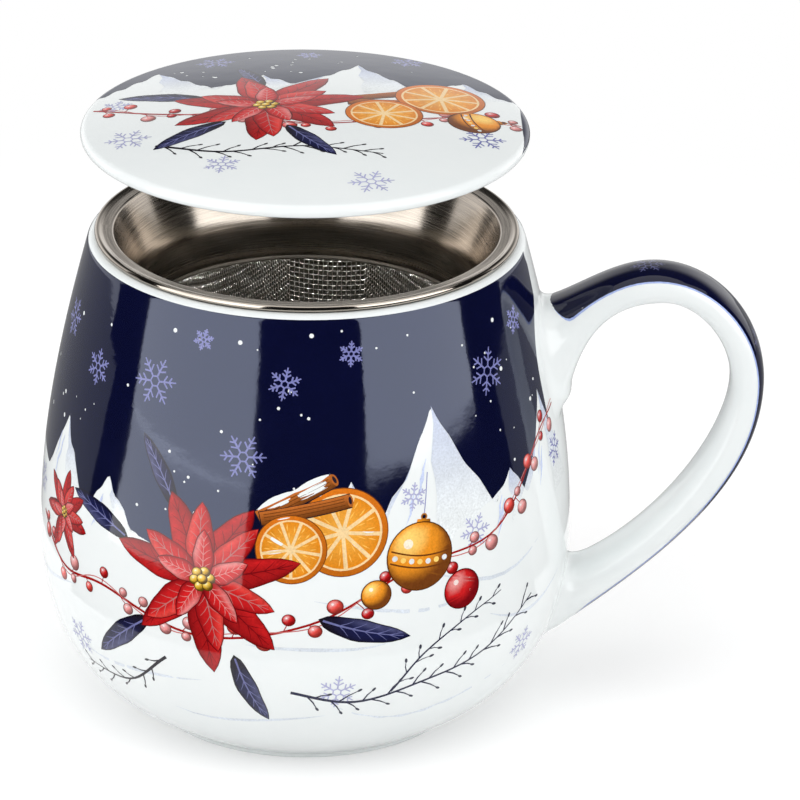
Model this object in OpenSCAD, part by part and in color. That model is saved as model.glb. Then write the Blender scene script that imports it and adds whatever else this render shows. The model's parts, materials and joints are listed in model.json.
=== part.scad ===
// Tea mug with a lift-out infuser and a loose lid.
// The origin is on the mug's axis, on the surface that the foot stands on. +Z is up and the
// handle points along +X.

/* [Mug] */
// Height of the porcelain, from the foot to the top of the lip
mug_h = 90.6; // [84:0.1:100]
// Outer radius at the belly, the widest place
belly_r = 48.3; // [46:0.1:54]
// Height of the belly
belly_z = 35; // [30:0.5:42]
// Outer radius of the lip
lip_r = 39.4; // [38:0.05:44]
// Lean of the wall at the lip, in degrees off upright
lip_lean = 15; // [5:0.5:20]
// Wall thickness, which the lip rounds over
wall = 3.4; // [2.8:0.1:4.5]
// Thickness of the floor at its middle
floor_t = 3.8; // [3:0.1:6]
// Radius of the flat middle of the floor
floor_flat_r = 18; // [12:0.5:24]

/* [Foot ring] */
// Outer radius of the foot ring
foot_r = 29.1; // [27:0.1:33]
// Height of the foot ring's outer face
foot_h = 0.8; // [0.6:0.1:2]
// Width of the foot ring
foot_w = 3.6; // [2.5:0.1:6]
// Depth of the hollow inside the foot ring
well_d = 2; // [1:0.1:3]
// Rounding of the foot ring's edges
foot_round = 0.4; // [0.2:0.05:0.5]
// Angle at which the bowl leaves the foot, in degrees above the table
foot_angle = 33; // [30:1:50]

/* [Handle] */
// How far the handle stands out past the belly
handle_out = 34.4; // [30:0.2:40]
// Depth of the handle's crown below the lip
crown_drop = 5.6; // [2:0.1:9]
// How far out past the belly the crown lies
crown_out = 14.2; // [10:0.2:18]
// How much further out the crown of the inner face lies
crown_shift = 1.9; // [0:0.1:4]
// Depth below the lip of the handle's farthest point
reach_drop = 27.3; // [22:0.1:31]
// Thickness of the strap between crown and farthest point
strap_t = 6.1; // [5:0.1:8]
// Width of the strap
strap_w = 11.5; // [9:0.1:14]
// Squareness of the strap's section, 2 being an ellipse
strap_square = 2.7; // [2:0.1:4]
// Depth below the lip of the upper joint's top edge
upper_joint_top = 13.2; // [10:0.1:15]
// Depth below the lip of the upper joint's bottom edge
upper_joint_low = 36.7; // [32:0.1:40]
// Extra width of the strap where it spreads onto the wall at the upper joint
upper_spread = 8; // [3:0.5:10]
// Height of the lower joint's top edge
lower_joint_top = 25; // [22:0.1:30]
// Height of the lower joint's bottom edge
lower_joint_low = 13; // [9:0.1:15]
// Extra width of the strap where it spreads onto the wall at the lower joint
lower_spread = 4; // [2:0.5:8]

/* [Infuser funnel] */
// Thickness of the steel sheet
sheet_t = 0.5; // [0.4:0.05:0.7]
// How far the rolled rim stops short of the lip's outer edge
rim_inset = 1.4; // [1:0.05:2.5]
// Radius of the rolled rim's bead
bead_r = 0.6; // [0.35:0.05:0.9]
// How far the flange lies below the top of the rolled rim
flange_drop = 0.4; // [0:0.05:0.5]
// Clearance between the rolled rim and the lip
rim_gap = 0.15; // [0.1:0.05:0.3]
// Width of the flat flange, from its rolled rim to the throat
flange_w = 3.5; // [3:0.1:4.5]
// Bending radius between the flange and the cone, on the cone's side
knee_r = 0.8; // [0.75:0.05:1.2]
// Depth of the cone, from the flange to where the wall turns upright
cone_h = 10.8; // [7:0.1:14]
// Height of the funnel, from the flange to the skirt
funnel_h = 17.2; // [15:0.1:22]
// Inner radius of the skirt that holds the wire cloth
skirt_r = 30; // [27:0.1:32]
// Height of the skirt
skirt_h = 2.6; // [2:0.1:5]

/* [Infuser basket] */
// Thickness of the woven wire cloth, over its knuckles
cloth_t = 0.5; // [0.4:0.05:0.8]
// Height of the wire cloth cup
basket_h = 45.5; // [34:0.5:55]
// Outer radius of the cup at its floor
basket_floor_r = 27.5; // [24:0.1:29]
// Rounding between the cup's wall and floor
basket_round = 7; // [4:0.5:10]
// Wire radius of the seam ring that closes the cloth in the skirt
seam_wire_r = 0.35; // [0.3:0.05:0.6]
// Depth of the seam ring below the top of the skirt
seam_drop = 0.1; // [0.1:0.05:0.6]
// Clearance of the cloth and the seam ring in the skirt
cloth_gap = 0.05; // [0.02:0.01:0.1]

/* [Lid] */
// Outer radius of the lid
lid_r = 39.9; // [38.5:0.05:44]
// Radius of the lid's rounded edge, half of its thickness there
lid_edge_r = 1.25; // [1:0.05:2.2]
// Rise of the dome above the edge
dome_h = 3; // [1:0.1:8]
// Thickness of the lid at its middle
lid_t = 3.8; // [3:0.1:5]
// Width of the locating ring on the underside
ring_w = 3; // [2:0.1:5]
// Depth of the locating ring
ring_d = 1.9; // [1:0.1:1.95]
// Clearance between the locating ring and the throat
ring_gap = 1.2; // [0.9:0.05:1.6]
// Clearance between the lid and the rolled rim when it is down
lid_gap = 0.15; // [0.1:0.05:0.3]
// Height at which the lid is held over its seat
lid_lift = 16.6; // [8:0.1:30]
// Sideways place of the lid, which is loose in the throat
lid_offset = -0.4; // [-0.5:0.1:0.5]

/* [Hidden] */

porcelain = "#eef2f2";
steel = "#b5aea4";
cloth = "#8f8b84";

$fn = 144;
// Steps along each curve of an outline, and around a rounded edge
curve_steps = 18;
edge_steps = 10;

function bezier(p, t) =
    pow(1 - t, 3) * p[0] + 3 * pow(1 - t, 2) * t * p[1] + 3 * (1 - t) * t * t * p[2] + t * t * t * p[3];
function curve(p, steps) = [for (i = [0:steps]) bezier(p, i / steps)];
function arc(centre, r, from, to, steps) =
    [for (i = [0:steps]) let (a = from + (to - from) * i / steps) centre + r * [cos(a), sin(a)]];

// Mug outline. The lip is a half circle as thick as the wall, turned by the wall's lean.
lip_round = wall / 2;
lip_centre = [lip_r - lip_round, mug_h - lip_round];
lip_dir = [cos(lip_lean), sin(lip_lean)];
wall_dir = [sin(lip_lean), -cos(lip_lean)];
// Reach of the curve handles that shape the bowl
foot_pull = 9;
belly_pull_down = 24;
belly_pull_up = 18.2;
lip_pull = 17.5;
floor_pull = 14;

bowl_low = [
    [foot_r, foot_h],
    [foot_r, foot_h] + foot_pull * [cos(foot_angle), sin(foot_angle)],
    [belly_r, belly_z - belly_pull_down],
    [belly_r, belly_z]
];
bowl_high = [
    [belly_r, belly_z],
    [belly_r, belly_z + belly_pull_up],
    lip_centre + lip_round * lip_dir + lip_pull * wall_dir,
    lip_centre + lip_round * lip_dir
];
outer_line = concat(curve(bowl_low, curve_steps), curve(bowl_high, curve_steps));

floor_z = well_d + floor_t;
cavity_r = belly_r - wall;
cavity_high = [
    lip_centre - lip_round * lip_dir,
    lip_centre - lip_round * lip_dir + lip_pull * wall_dir,
    [cavity_r, belly_z + belly_pull_up],
    [cavity_r, belly_z]
];
cavity_low = [
    [cavity_r, belly_z],
    [cavity_r, belly_z - belly_pull_down],
    [floor_flat_r + floor_pull, floor_z],
    [floor_flat_r, floor_z]
];

foot_line = concat(
    [[0, well_d], [foot_r - foot_w, well_d]],
    arc([foot_r - foot_w + foot_round, foot_round], foot_round, 180, 270, 4),
    arc([foot_r - foot_round, foot_round], foot_round, 270, 360, 4)
);

// Outer radius of the mug at a height
function outer_r(z) = lookup(z, [for (p = outer_line) [p[1], p[0]]]);

// Handle: its outer and inner faces are two curves in the XZ plane, from the upper joint over
// the crown and the farthest point to the lower joint.
crown_z = mug_h - crown_drop;
crown_x = belly_r + crown_out;
reach_x = belly_r + handle_out;
reach_z = mug_h - reach_drop;
upper_top = [outer_r(mug_h - upper_joint_top) - 0.7, mug_h - upper_joint_top];
upper_low = [outer_r(mug_h - upper_joint_low) - 1.1, mug_h - upper_joint_low];
lower_top = [outer_r(lower_joint_top) - 1, lower_joint_top];
lower_low = [outer_r(lower_joint_low) + 1, lower_joint_low];
outer_crown = [crown_x, crown_z];
inner_crown = [crown_x + crown_shift, crown_z - strap_t];
outer_reach = [reach_x, reach_z];
inner_reach = [reach_x - strap_t, reach_z];

handle_outer = [
    [upper_top, upper_top + [5.2, 1.2], outer_crown - [8, 0], outer_crown],
    [outer_crown, outer_crown + [11.4, 0], outer_reach + [0, 11.2], outer_reach],
    [outer_reach, outer_reach - [0, 19.2], lower_low + [22.2, 15.8], lower_low]
];
handle_inner = [
    [upper_low, upper_low + [2.4, 9.8], inner_crown - [15.6, 0], inner_crown],
    [inner_crown, inner_crown + [5.6, 0], inner_reach + [0, 8.4], inner_reach],
    [inner_reach, inner_reach - [0, 11.5], lower_top + [16.6, 6.5], lower_top]
];
// Steps along each of the three stretches, and points around the strap
strap_steps = 10;
strap_sides = 24;
// How far the strap's ends run into the wall before they are cut to it
root_depth = 3;

function power(x, e) = sign(x) * pow(abs(x), e);
function strap_width(s) =
    strap_w
    + upper_spread * pow(max(0, 1 - s), 3)
    + lower_spread * pow(max(0, s - 2), 8);
function strap_ring(outer, inner, width) = [
    for (k = [0:strap_sides - 1])
        let (
            a = 360 * k / strap_sides,
            middle = (outer + inner) / 2,
            half = (outer - inner) / 2,
            p = middle + half * power(cos(a), 2 / strap_square)
        )
        [p[0], width / 2 * power(sin(a), 2 / strap_square), p[1]]
];
function strap_at(s) =
    let (piece = min(2, floor(s)), t = s - piece)
    strap_ring(bezier(handle_outer[piece], t), bezier(handle_inner[piece], t), strap_width(s));

// Infuser: the rolled rim rests on the lip and stands a little proud of the flange.
rim_z = mug_h + rim_gap + bead_r;
rim_top_z = rim_z + bead_r;
flange_z = rim_top_z - flange_drop;
bead_centre_r = lip_r - rim_inset - bead_r;
throat_r = lip_r - rim_inset - flange_w;
cone_z = flange_z - cone_h;
skirt_z = flange_z - funnel_h;
cloth_top_z = skirt_z - seam_drop - 2 * seam_wire_r - cloth_gap;
cloth_r = skirt_r - cloth_gap;
basket_z = cloth_top_z - basket_h;

// Lid: its underside is level, and the locating ring hangs inside the throat.
lid_z = rim_top_z + lid_gap + lid_lift;
lid_edge = [lid_r - lid_edge_r, lid_z + lid_edge_r];
dome_r = (pow(lid_edge[0], 2) + pow(dome_h, 2)) / (2 * dome_h);
dome_angle = asin(lid_edge[0] / dome_r);
dome_centre = [0, lid_z + 2 * lid_edge_r + dome_h - dome_r];
ring_r = throat_r - ring_gap;
under_r = dome_r - lid_t;
under_angle = asin((ring_r - ring_w) / under_r);

module mug_body() {
    color(porcelain)
        rotate_extrude()
            polygon(concat(
                foot_line,
                outer_line,
                arc(lip_centre, lip_round, lip_lean, lip_lean + 180, edge_steps),
                curve(cavity_high, curve_steps),
                curve(cavity_low, curve_steps),
                [[0, floor_z]]
            ));
}

// The mug without its cavity, which the handle's ends are cut to
module mug_outside() {
    rotate_extrude()
        polygon(concat([[0, foot_h]], outer_line, [[0, outer_line[len(outer_line) - 1][1]]]));
}

module handle() {
    ring_count = 3 * strap_steps + 1;
    first = strap_at(0);
    last = strap_at(3);
    rings = concat(
        [[for (p = first) p - [root_depth, 0, 0]]],
        [for (i = [0:ring_count - 1]) strap_at(i / strap_steps)],
        [[for (p = last) p - [root_depth, 0, 0]]]
    );
    count = len(rings);
    points = [for (ring = rings) each ring];
    skin = [
        for (i = [0:count - 2], k = [0:strap_sides - 1])
            let (n = (k + 1) % strap_sides, a = i * strap_sides, b = a + strap_sides)
            each [[a + k, a + n, b + n], [a + k, b + n, b + k]]
    ];
    near_cap = [for (k = [0:strap_sides - 1]) strap_sides - 1 - k];
    far_cap = [for (k = [0:strap_sides - 1]) (count - 1) * strap_sides + k];
    color(porcelain)
        difference() {
            polyhedron(points = points, faces = concat(skin, [near_cap, far_cap]), convexity = 4);
            mug_outside();
        }
}

module infuser_funnel() {
    cone_turn = atan((throat_r - skirt_r) / (cone_h - knee_r));
    knee = [throat_r + knee_r, flange_z - knee_r];
    color(steel)
        rotate_extrude() {
            polygon(concat(
                [[bead_centre_r, flange_z]],
                arc(knee, knee_r, 90, 180 - cone_turn, 6),
                [[skirt_r, cone_z], [skirt_r, skirt_z - skirt_h]],
                [[skirt_r + sheet_t, skirt_z - skirt_h], [skirt_r + sheet_t, cone_z]],
                arc(knee, knee_r - sheet_t, 180 - cone_turn, 90, 6),
                [[bead_centre_r, flange_z - sheet_t]]
            ));
            translate([bead_centre_r, rim_z])
                circle(r = bead_r, $fn = 32);
        }
}

module seam_ring() {
    color(steel)
        translate([0, 0, skirt_z - seam_drop - seam_wire_r])
            rotate_extrude()
                translate([cloth_r - seam_wire_r, 0])
                    circle(r = seam_wire_r, $fn = 24);
}

module mesh_basket() {
    corner = [basket_floor_r - basket_round, basket_z + basket_round];
    color(cloth)
        rotate_extrude()
            polygon(concat(
                [[0, basket_z]],
                arc(corner, basket_round, 270, 360, edge_steps),
                [[cloth_r, cloth_top_z], [cloth_r - cloth_t, cloth_top_z]],
                arc(corner, basket_round - cloth_t, 360, 270, edge_steps),
                [[0, basket_z + cloth_t]]
            ));
}

module lid() {
    ring_low = [ring_r - ring_w / 2, lid_z - ring_d + ring_w / 4];
    color(porcelain)
        translate([lid_offset, 0, 0])
            rotate_extrude()
                polygon(concat(
                    [[ring_r, lid_z]],
                    arc(lid_edge, lid_edge_r, -90, 90 - dome_angle, edge_steps),
                    arc(dome_centre, dome_r, 90 - dome_angle, 90, curve_steps),
                    arc(dome_centre, under_r, 90, 90 - under_angle, curve_steps),
                    [for (a = [180:20:360]) ring_low + [ring_w / 2 * cos(a), ring_w / 4 * sin(a)]]
                ));
}

mug_body();
handle();
infuser_funnel();
seam_ring();
mesh_basket();
lid();
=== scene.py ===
import json
import math

import bpy
import numpy as np
from mathutils import Matrix, Vector
from mathutils.geometry import delaunay_2d_cdt

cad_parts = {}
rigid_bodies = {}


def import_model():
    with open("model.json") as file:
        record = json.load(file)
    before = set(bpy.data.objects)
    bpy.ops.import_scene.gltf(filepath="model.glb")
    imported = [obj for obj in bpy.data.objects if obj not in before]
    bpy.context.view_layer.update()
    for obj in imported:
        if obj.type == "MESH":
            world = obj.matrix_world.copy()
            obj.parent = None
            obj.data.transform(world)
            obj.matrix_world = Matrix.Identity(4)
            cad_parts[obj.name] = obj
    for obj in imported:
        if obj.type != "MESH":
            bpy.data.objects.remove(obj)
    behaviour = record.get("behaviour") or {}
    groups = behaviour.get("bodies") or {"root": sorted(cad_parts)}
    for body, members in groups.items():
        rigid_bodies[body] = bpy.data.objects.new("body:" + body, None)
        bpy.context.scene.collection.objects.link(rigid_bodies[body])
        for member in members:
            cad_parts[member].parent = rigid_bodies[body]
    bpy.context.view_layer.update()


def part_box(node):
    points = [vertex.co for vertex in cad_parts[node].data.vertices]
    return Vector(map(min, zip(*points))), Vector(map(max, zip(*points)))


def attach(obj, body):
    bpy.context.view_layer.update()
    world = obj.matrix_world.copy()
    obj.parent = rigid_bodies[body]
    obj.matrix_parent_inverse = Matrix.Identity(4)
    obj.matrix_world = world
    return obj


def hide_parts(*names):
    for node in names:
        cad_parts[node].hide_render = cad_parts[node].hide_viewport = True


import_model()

# Lengths are written in millimetres and become metres where a mesh, lamp or camera is made.
MM = 0.001


def node_box(name):
    """Lowest and highest corner of a CAD node, in millimetres."""
    low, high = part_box(name)
    return np.array(low) / MM, np.array(high) / MM


# ---- Sizes, from the frame where a node's box gives them

mug_low, mug_high = node_box("mug_body")
handle_high = node_box("handle")[1]
funnel_low, funnel_high = node_box("infuser_funnel")
seam_low, seam_high = node_box("seam_ring")
basket_low, basket_high = node_box("mesh_basket")
lid_low, lid_high = node_box("lid")

mug_h = mug_high[2]
belly_r = -mug_low[0]
belly_z = 35.0
lip_r = 39.4
lip_lean = math.radians(15)
wall = 3.4
floor_t = 3.8
floor_flat_r = 18.0
foot_r = 29.1
foot_h = 0.8
foot_w = 3.6
well_d = 2.0
foot_round = 0.4
foot_angle = math.radians(33)

reach_x = handle_high[0]
crown_z = handle_high[2]
crown_x = belly_r + 14.2
crown_shift = 1.9
reach_z = mug_h - 27.3
strap_t = 6.1
strap_w = 11.5
strap_square = 2.7
upper_joint_top = mug_h - 13.2
upper_joint_low = mug_h - 36.7
upper_spread = 8.0
lower_joint_top = 25.0
lower_joint_low = 13.0
lower_spread = 4.0

rim_top_z = funnel_high[2]
flange_drop = 0.4
flange_z = rim_top_z - flange_drop
skirt_low_z = funnel_low[2]
rim_r = funnel_high[0]
sheet_t = 0.5
bead_r = 0.6
flange_w = 3.5
knee_r = 0.5
cone_h = 10.8
skirt_r = 30.0
basket_round = 7.0
cloth_t = 0.5

lid_r = (lid_high[0] - lid_low[0]) / 2
lid_x = (lid_high[0] + lid_low[0]) / 2
lid_top_z = lid_high[2]
lid_edge_r = 1.25
dome_h = 3.0
lid_t = 3.8
ring_w = 3.0
ring_gap = 1.2


# ---- Meshes

def add_object(name, data):
    item = bpy.data.objects.new(name, data)
    bpy.context.scene.collection.objects.link(item)
    return item


def new_piece(name, points, faces, material, body, slot_name, node=None, normals=None, colours=None):
    """A smooth mesh piece from points in millimetres, which rides on a body.

    normals are one per point and colours one per face corner.
    """
    mesh = bpy.data.meshes.new(name)
    mesh.from_pydata((np.asarray(points) * MM).tolist(), [], faces)
    mesh.update()
    mesh.shade_smooth()
    if colours is not None:
        layer = mesh.color_attributes.new(name="print", type="FLOAT_COLOR", domain="CORNER")
        layer.data.foreach_set("color", np.insert(colours, 3, 1, axis=1).astype(np.float32).ravel())
    if normals is not None:
        mesh.normals_split_custom_set_from_vertices(np.asarray(normals).tolist())
    mesh.materials.append(material)
    piece = add_object(name, mesh)
    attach(piece, body)
    if node:
        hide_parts(node)
    return piece


def bezier(p, t):
    """Points at the parameters t of a cubic curve with the control points p."""
    p = [np.asarray(q, float) for q in p]
    t = np.atleast_1d(t)[:, None]
    return (1 - t) ** 3 * p[0] + 3 * (1 - t) ** 2 * t * p[1] + 3 * (1 - t) * t * t * p[2] + t ** 3 * p[3]


def curve(p, steps):
    return bezier(p, np.linspace(0, 1, steps + 1))


def arc(centre, r, start, end, steps):
    a = np.radians(np.linspace(start, end, steps + 1))
    return np.array(centre) + r * pairs(np.cos(a), np.sin(a))


def pairs(x, y):
    """Points in the plane, one to a row."""
    return np.stack([x, y], axis=1)


def path_length(points):
    """Distance along a polyline at each of its points."""
    return np.concatenate([[0], np.cumsum(np.linalg.norm(np.diff(points, axis=0), axis=1))])


def smooth(low, high, x):
    """0 up to low, 1 from high on, and an even S between them."""
    t = np.clip((np.asarray(x, float) - low) / (high - low), 0, 1)
    return t * t * (3 - 2 * t)


def turned(points, degrees):
    c, s = math.cos(math.radians(degrees)), math.sin(math.radians(degrees))
    points = np.asarray(points, float)
    return pairs(c * points[:, 0] - s * points[:, 1], s * points[:, 0] + c * points[:, 1])


def band(low, high):
    """Faces between two closed rings of point numbers, of which one may be a single point."""
    low, high = (ring * max(len(low), len(high)) if len(ring) == 1 else ring for ring in (low, high))
    corners = zip(low, low[1:] + low[:1], high[1:] + high[:1], high)
    return [tuple(dict.fromkeys(face)) for face in corners]


def lathe(profile, sides=192, closed=False, centre=0.0):
    """Points and faces of a profile of (radius, height) turned about Z. Ends on the axis close with a fan."""
    turn = np.linspace(0, 2 * math.pi, sides, endpoint=False)
    points, rings = [], []
    for r, z in profile:
        ring = [(centre + r * math.cos(a), r * math.sin(a), z) for a in (turn if r > 1e-6 else turn[:1])]
        rings.append(list(range(len(points), len(points) + len(ring))))
        points += ring
    if closed:
        rings.append(rings[0])
    return points, [face for low, high in zip(rings, rings[1:]) for face in band(low, high)]


# ---- Outlines

right = np.array([1.0, 0.0])
up = np.array([0.0, 1.0])
belly = np.array([belly_r, belly_z])
lip_round = wall / 2
lip_centre = np.array([lip_r - lip_round, mug_h - lip_round])
lip_dir = np.array([math.cos(lip_lean), math.sin(lip_lean)])
wall_dir = np.array([math.sin(lip_lean), -math.cos(lip_lean)])
foot_pull = 9.0
belly_pull_down = 24.0
belly_pull_up = 18.2
lip_pull = 17.5
floor_pull = 14.0
foot_start = np.array([foot_r, foot_h])
foot_dir = np.array([math.cos(foot_angle), math.sin(foot_angle)])
lip_outer = lip_centre + lip_round * lip_dir
lip_inner = lip_centre - lip_round * lip_dir

bowl_low = curve([foot_start, foot_start + foot_pull * foot_dir, belly - belly_pull_down * up, belly], 48)
bowl_high = curve([belly, belly + belly_pull_up * up, lip_outer + lip_pull * wall_dir, lip_outer], 48)
outer_line = np.vstack([bowl_low, bowl_high[1:]])


def outer_r(z):
    """Outer radius of the mug at a height."""
    return np.interp(z, outer_line[:, 1], outer_line[:, 0])


def mug_profile():
    cavity = belly - wall * right
    floor_z = well_d + floor_t
    floor_edge = np.array([floor_flat_r, floor_z])
    foot_in = foot_r - foot_w
    cavity_high = curve([lip_inner, lip_inner + lip_pull * wall_dir, cavity + belly_pull_up * up, cavity], 40)
    cavity_low = curve(
        [cavity, cavity - belly_pull_down * up, floor_edge + floor_pull * right, floor_edge], 40)
    lean = math.degrees(lip_lean)
    return np.vstack([
        [(0, well_d), (foot_in - 2.0, well_d)],
        arc((foot_in - 0.8, well_d - 0.8), 0.8, 90, 0, 5),
        arc((foot_in + foot_round, foot_round), foot_round, 180, 270, 5),
        arc((foot_r - foot_round, foot_round), foot_round, 270, 360, 5),
        outer_line,
        arc(lip_centre, lip_round, lean, lean + 180, 24)[1:],
        cavity_high[1:],
        cavity_low[1:],
        [(0, floor_z)],
    ])


# ---- Materials

def set_inputs(tree, node, inputs):
    """Each input is named or numbered, and takes a value or another node's output."""
    for key, value in inputs.items():
        if isinstance(value, bpy.types.NodeSocket):
            tree.links.new(value, node.inputs[key])
        else:
            node.inputs[key].default_value = value


def add_node(tree, kind, inputs, **settings):
    node = tree.nodes.new(kind)
    for key, value in settings.items():
        setattr(node, key, value)
    set_inputs(tree, node, inputs)
    return node


def principled(name, **values):
    material = bpy.data.materials.new(name)
    material.use_nodes = True
    tree = material.node_tree
    shader = tree.nodes["Principled BSDF"]
    set_inputs(tree, shader, values)
    return material, tree, shader


def math_node(tree, operation, a, b=0.0):
    return add_node(tree, "ShaderNodeMath", {0: a, 1: b}, operation=operation).outputs[0]


def object_place(tree):
    return add_node(tree, "ShaderNodeTexCoord", {}).outputs["Object"]


def world_place(tree):
    return add_node(tree, "ShaderNodeNewGeometry", {}).outputs["Position"]


def split_place(tree, place):
    """The x, y and z of a place, and its distance from the Z axis."""
    x, y, z = add_node(tree, "ShaderNodeSeparateXYZ", {0: place}).outputs
    square = math_node(tree, "ADD", math_node(tree, "MULTIPLY", x, x), math_node(tree, "MULTIPLY", y, y))
    return x, y, z, math_node(tree, "SQRT", square)


def noise(tree, place, scale, detail=2.0, roughness=0.5):
    inputs = {"Vector": place, "Scale": scale, "Detail": detail, "Roughness": roughness}
    return add_node(tree, "ShaderNodeTexNoise", inputs).outputs["Fac"]


def ramp_value(tree, value, low, high, out_low, out_high, kind="LINEAR"):
    inputs = {"Value": value, "From Min": low, "From Max": high, "To Min": out_low, "To Max": out_high}
    return add_node(tree, "ShaderNodeMapRange", inputs, interpolation_type=kind).outputs[0]


def mixed_colour(tree, factor, first, second):
    inputs = {"Factor": factor, 6: first, 7: second}
    return add_node(tree, "ShaderNodeMix", inputs, data_type="RGBA").outputs[2]


def scaled_colour(tree, colour, level):
    inputs = {0: colour, "Scale": level}
    return add_node(tree, "ShaderNodeVectorMath", inputs, operation="SCALE").outputs["Vector"]


def bump(tree, height, distance, **inputs):
    inputs |= {"Strength": 1.0, "Distance": distance, "Height": height}
    return add_node(tree, "ShaderNodeBump", inputs).outputs["Normal"]


def glaze(tree, shader):
    """The glaze's slow waves and fine pits, and its slightly uneven polish."""
    place = object_place(tree)
    waves = bump(tree, noise(tree, place, 210.0, 1.0), 0.00003)
    pits = bump(tree, noise(tree, place, 1300.0, 2.0), 0.0000045, Normal=waves)
    polish = ramp_value(tree, noise(tree, place, 60.0, 3.0), 0.3, 0.7, 0.045, 0.085)
    set_inputs(tree, shader, {"Normal": pits, "Roughness": polish})
    return place


def make_porcelain(name, painted_shade=False):
    """White glazed porcelain. When asked, the inside is painted greyish brown from 87 mm down, fully below 76
    mm: painted shade for the shade that the lid and the infuser cast there.
    """
    material, tree, shader = principled(name, IOR=1.5)
    place = glaze(tree, shader)
    colour = mixed_colour(
        tree, noise(tree, place, 90.0, 4.0, 0.6), (0.80, 0.84, 0.842, 1), (0.85, 0.875, 0.872, 1))
    if painted_shade:
        # Painted shade: greyish brown up to 76 mm, fading out by 87 mm
        shade_mask = ramp_value(tree, split_place(tree, place)[2], 0.076, 0.087, 1.0, 0.0)
        colour = mixed_colour(tree, shade_mask, colour, (0.69, 0.655, 0.60, 1))
    set_inputs(tree, shader, {"Base Color": colour})
    return material


def make_print(name):
    """Ceramic colour under the glaze. The colours are the sheet's own, with the grain of a screen print."""
    material, tree, shader = principled(name, IOR=1.5)
    place = glaze(tree, shader)
    ink = add_node(tree, "ShaderNodeVertexColor", {}, layer_name="print").outputs["Color"]
    grain = ramp_value(tree, noise(tree, place, 2600.0, 2.0, 0.6), 0.25, 0.75, 0.86, 1.14)
    cloud = ramp_value(tree, noise(tree, place, 160.0, 3.0), 0.3, 0.7, 0.93, 1.07)
    colour = scaled_colour(tree, ink, math_node(tree, "MULTIPLY", grain, cloud))
    set_inputs(tree, shader, {"Base Color": colour})
    return material


def make_steel(name, share=1.0, dullness=1.0):
    """Sheet steel, turned: fine scratches and soft bands run round the axis."""
    material, tree, shader = principled(
        name, **{"Metallic": 1.0, "Anisotropic": 0.6, "Anisotropic Rotation": 0.25})
    tangent = add_node(tree, "ShaderNodeTangent", {}, direction_type="RADIAL", axis="Z")
    place = object_place(tree)
    x, y, z, radius = split_place(tree, place)
    angle = math_node(tree, "ARCTAN2", y, x)

    def turned_noise(along, across, up, *detail):
        """Noise whose grain is scaled along the turn, across it and up."""
        parts = [math_node(tree, "MULTIPLY", *pair) for pair in ((angle, along), (radius, across), (z, up))]
        scaled = add_node(tree, "ShaderNodeCombineXYZ", dict(enumerate(parts))).outputs[0]
        return noise(tree, scaled, 1.0, *detail)

    streaks = turned_noise(3.0, 2600.0, 5200.0, 3.0, 0.65)
    bands = ramp_value(tree, turned_noise(0.8, 260.0, 420.0, 2.0), 0.3, 0.7, 0.86 * share, 1.08 * share)
    stains = ramp_value(tree, noise(tree, place, 95.0, 3.0), 0.3, 0.7, 0.93, 1.05)
    tone = mixed_colour(
        tree, ramp_value(tree, streaks, 0.35, 0.65, 0.0, 1.0), (0.44, 0.39, 0.34, 1), (0.64, 0.575, 0.50, 1))
    rough = ramp_value(tree, streaks, 0.25, 0.75, 0.12 * dullness, 0.26 * dullness)
    # The rolled rim is polished by its tool and by use
    polish = ramp_value(tree, radius, (rim_r - 2 * bead_r) * MM, (rim_r - 1.6 * bead_r) * MM, 1.0, 0.4)
    # The skirt that holds the cloth keeps the dull skin of its seam
    skin = ramp_value(tree, z, skirt_low_z * MM, (skirt_low_z + 7) * MM, 2.0, 1.0)
    set_inputs(tree, shader, {
        "Tangent": tangent.outputs[0],
        "Base Color": scaled_colour(tree, tone, math_node(tree, "MULTIPLY", bands, stains)),
        "Roughness": math_node(tree, "MULTIPLY", rough, math_node(tree, "MULTIPLY", polish, skin)),
        "Normal": bump(tree, streaks, 0.000004)})
    return material


def make_wire():
    """Drawn wire, with dull and bright stretches."""
    material, tree, shader = principled("steel_wire", Metallic=1.0)
    patch = noise(tree, object_place(tree), 420.0, 3.0, 0.6)
    set_inputs(tree, shader, {
        "Base Color": mixed_colour(tree, patch, (0.62, 0.58, 0.52, 1), (0.90, 0.87, 0.81, 1)),
        "Roughness": ramp_value(tree, patch, 0.3, 0.7, 0.2, 0.32)})
    return material


porcelain = make_porcelain("porcelain")
# Porcelain for the mug's inside, with painted shade below the rim
stained_porcelain = make_porcelain("stained_porcelain", painted_shade=True)
steel = make_steel("brushed_steel")
dull_steel = make_steel("dull_steel", 0.75, 2.0)
wire = make_wire()


# ---- Mug body

# The pot is two pieces, which meet below the lip, so that lamps can tell its inside from its outside. The
# inside carries painted shade below the rim.
mug_line = mug_profile()
throat = len(mug_line) - 80
for name, part, material in (
        ("mug_porcelain", mug_line[:throat + 1], porcelain),
        ("mug_inside", mug_line[throat:], stained_porcelain)):
    new_piece(name, *lathe(part, 256), material, "mug", "porcelain", "mug_body")


# ---- Handle

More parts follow.
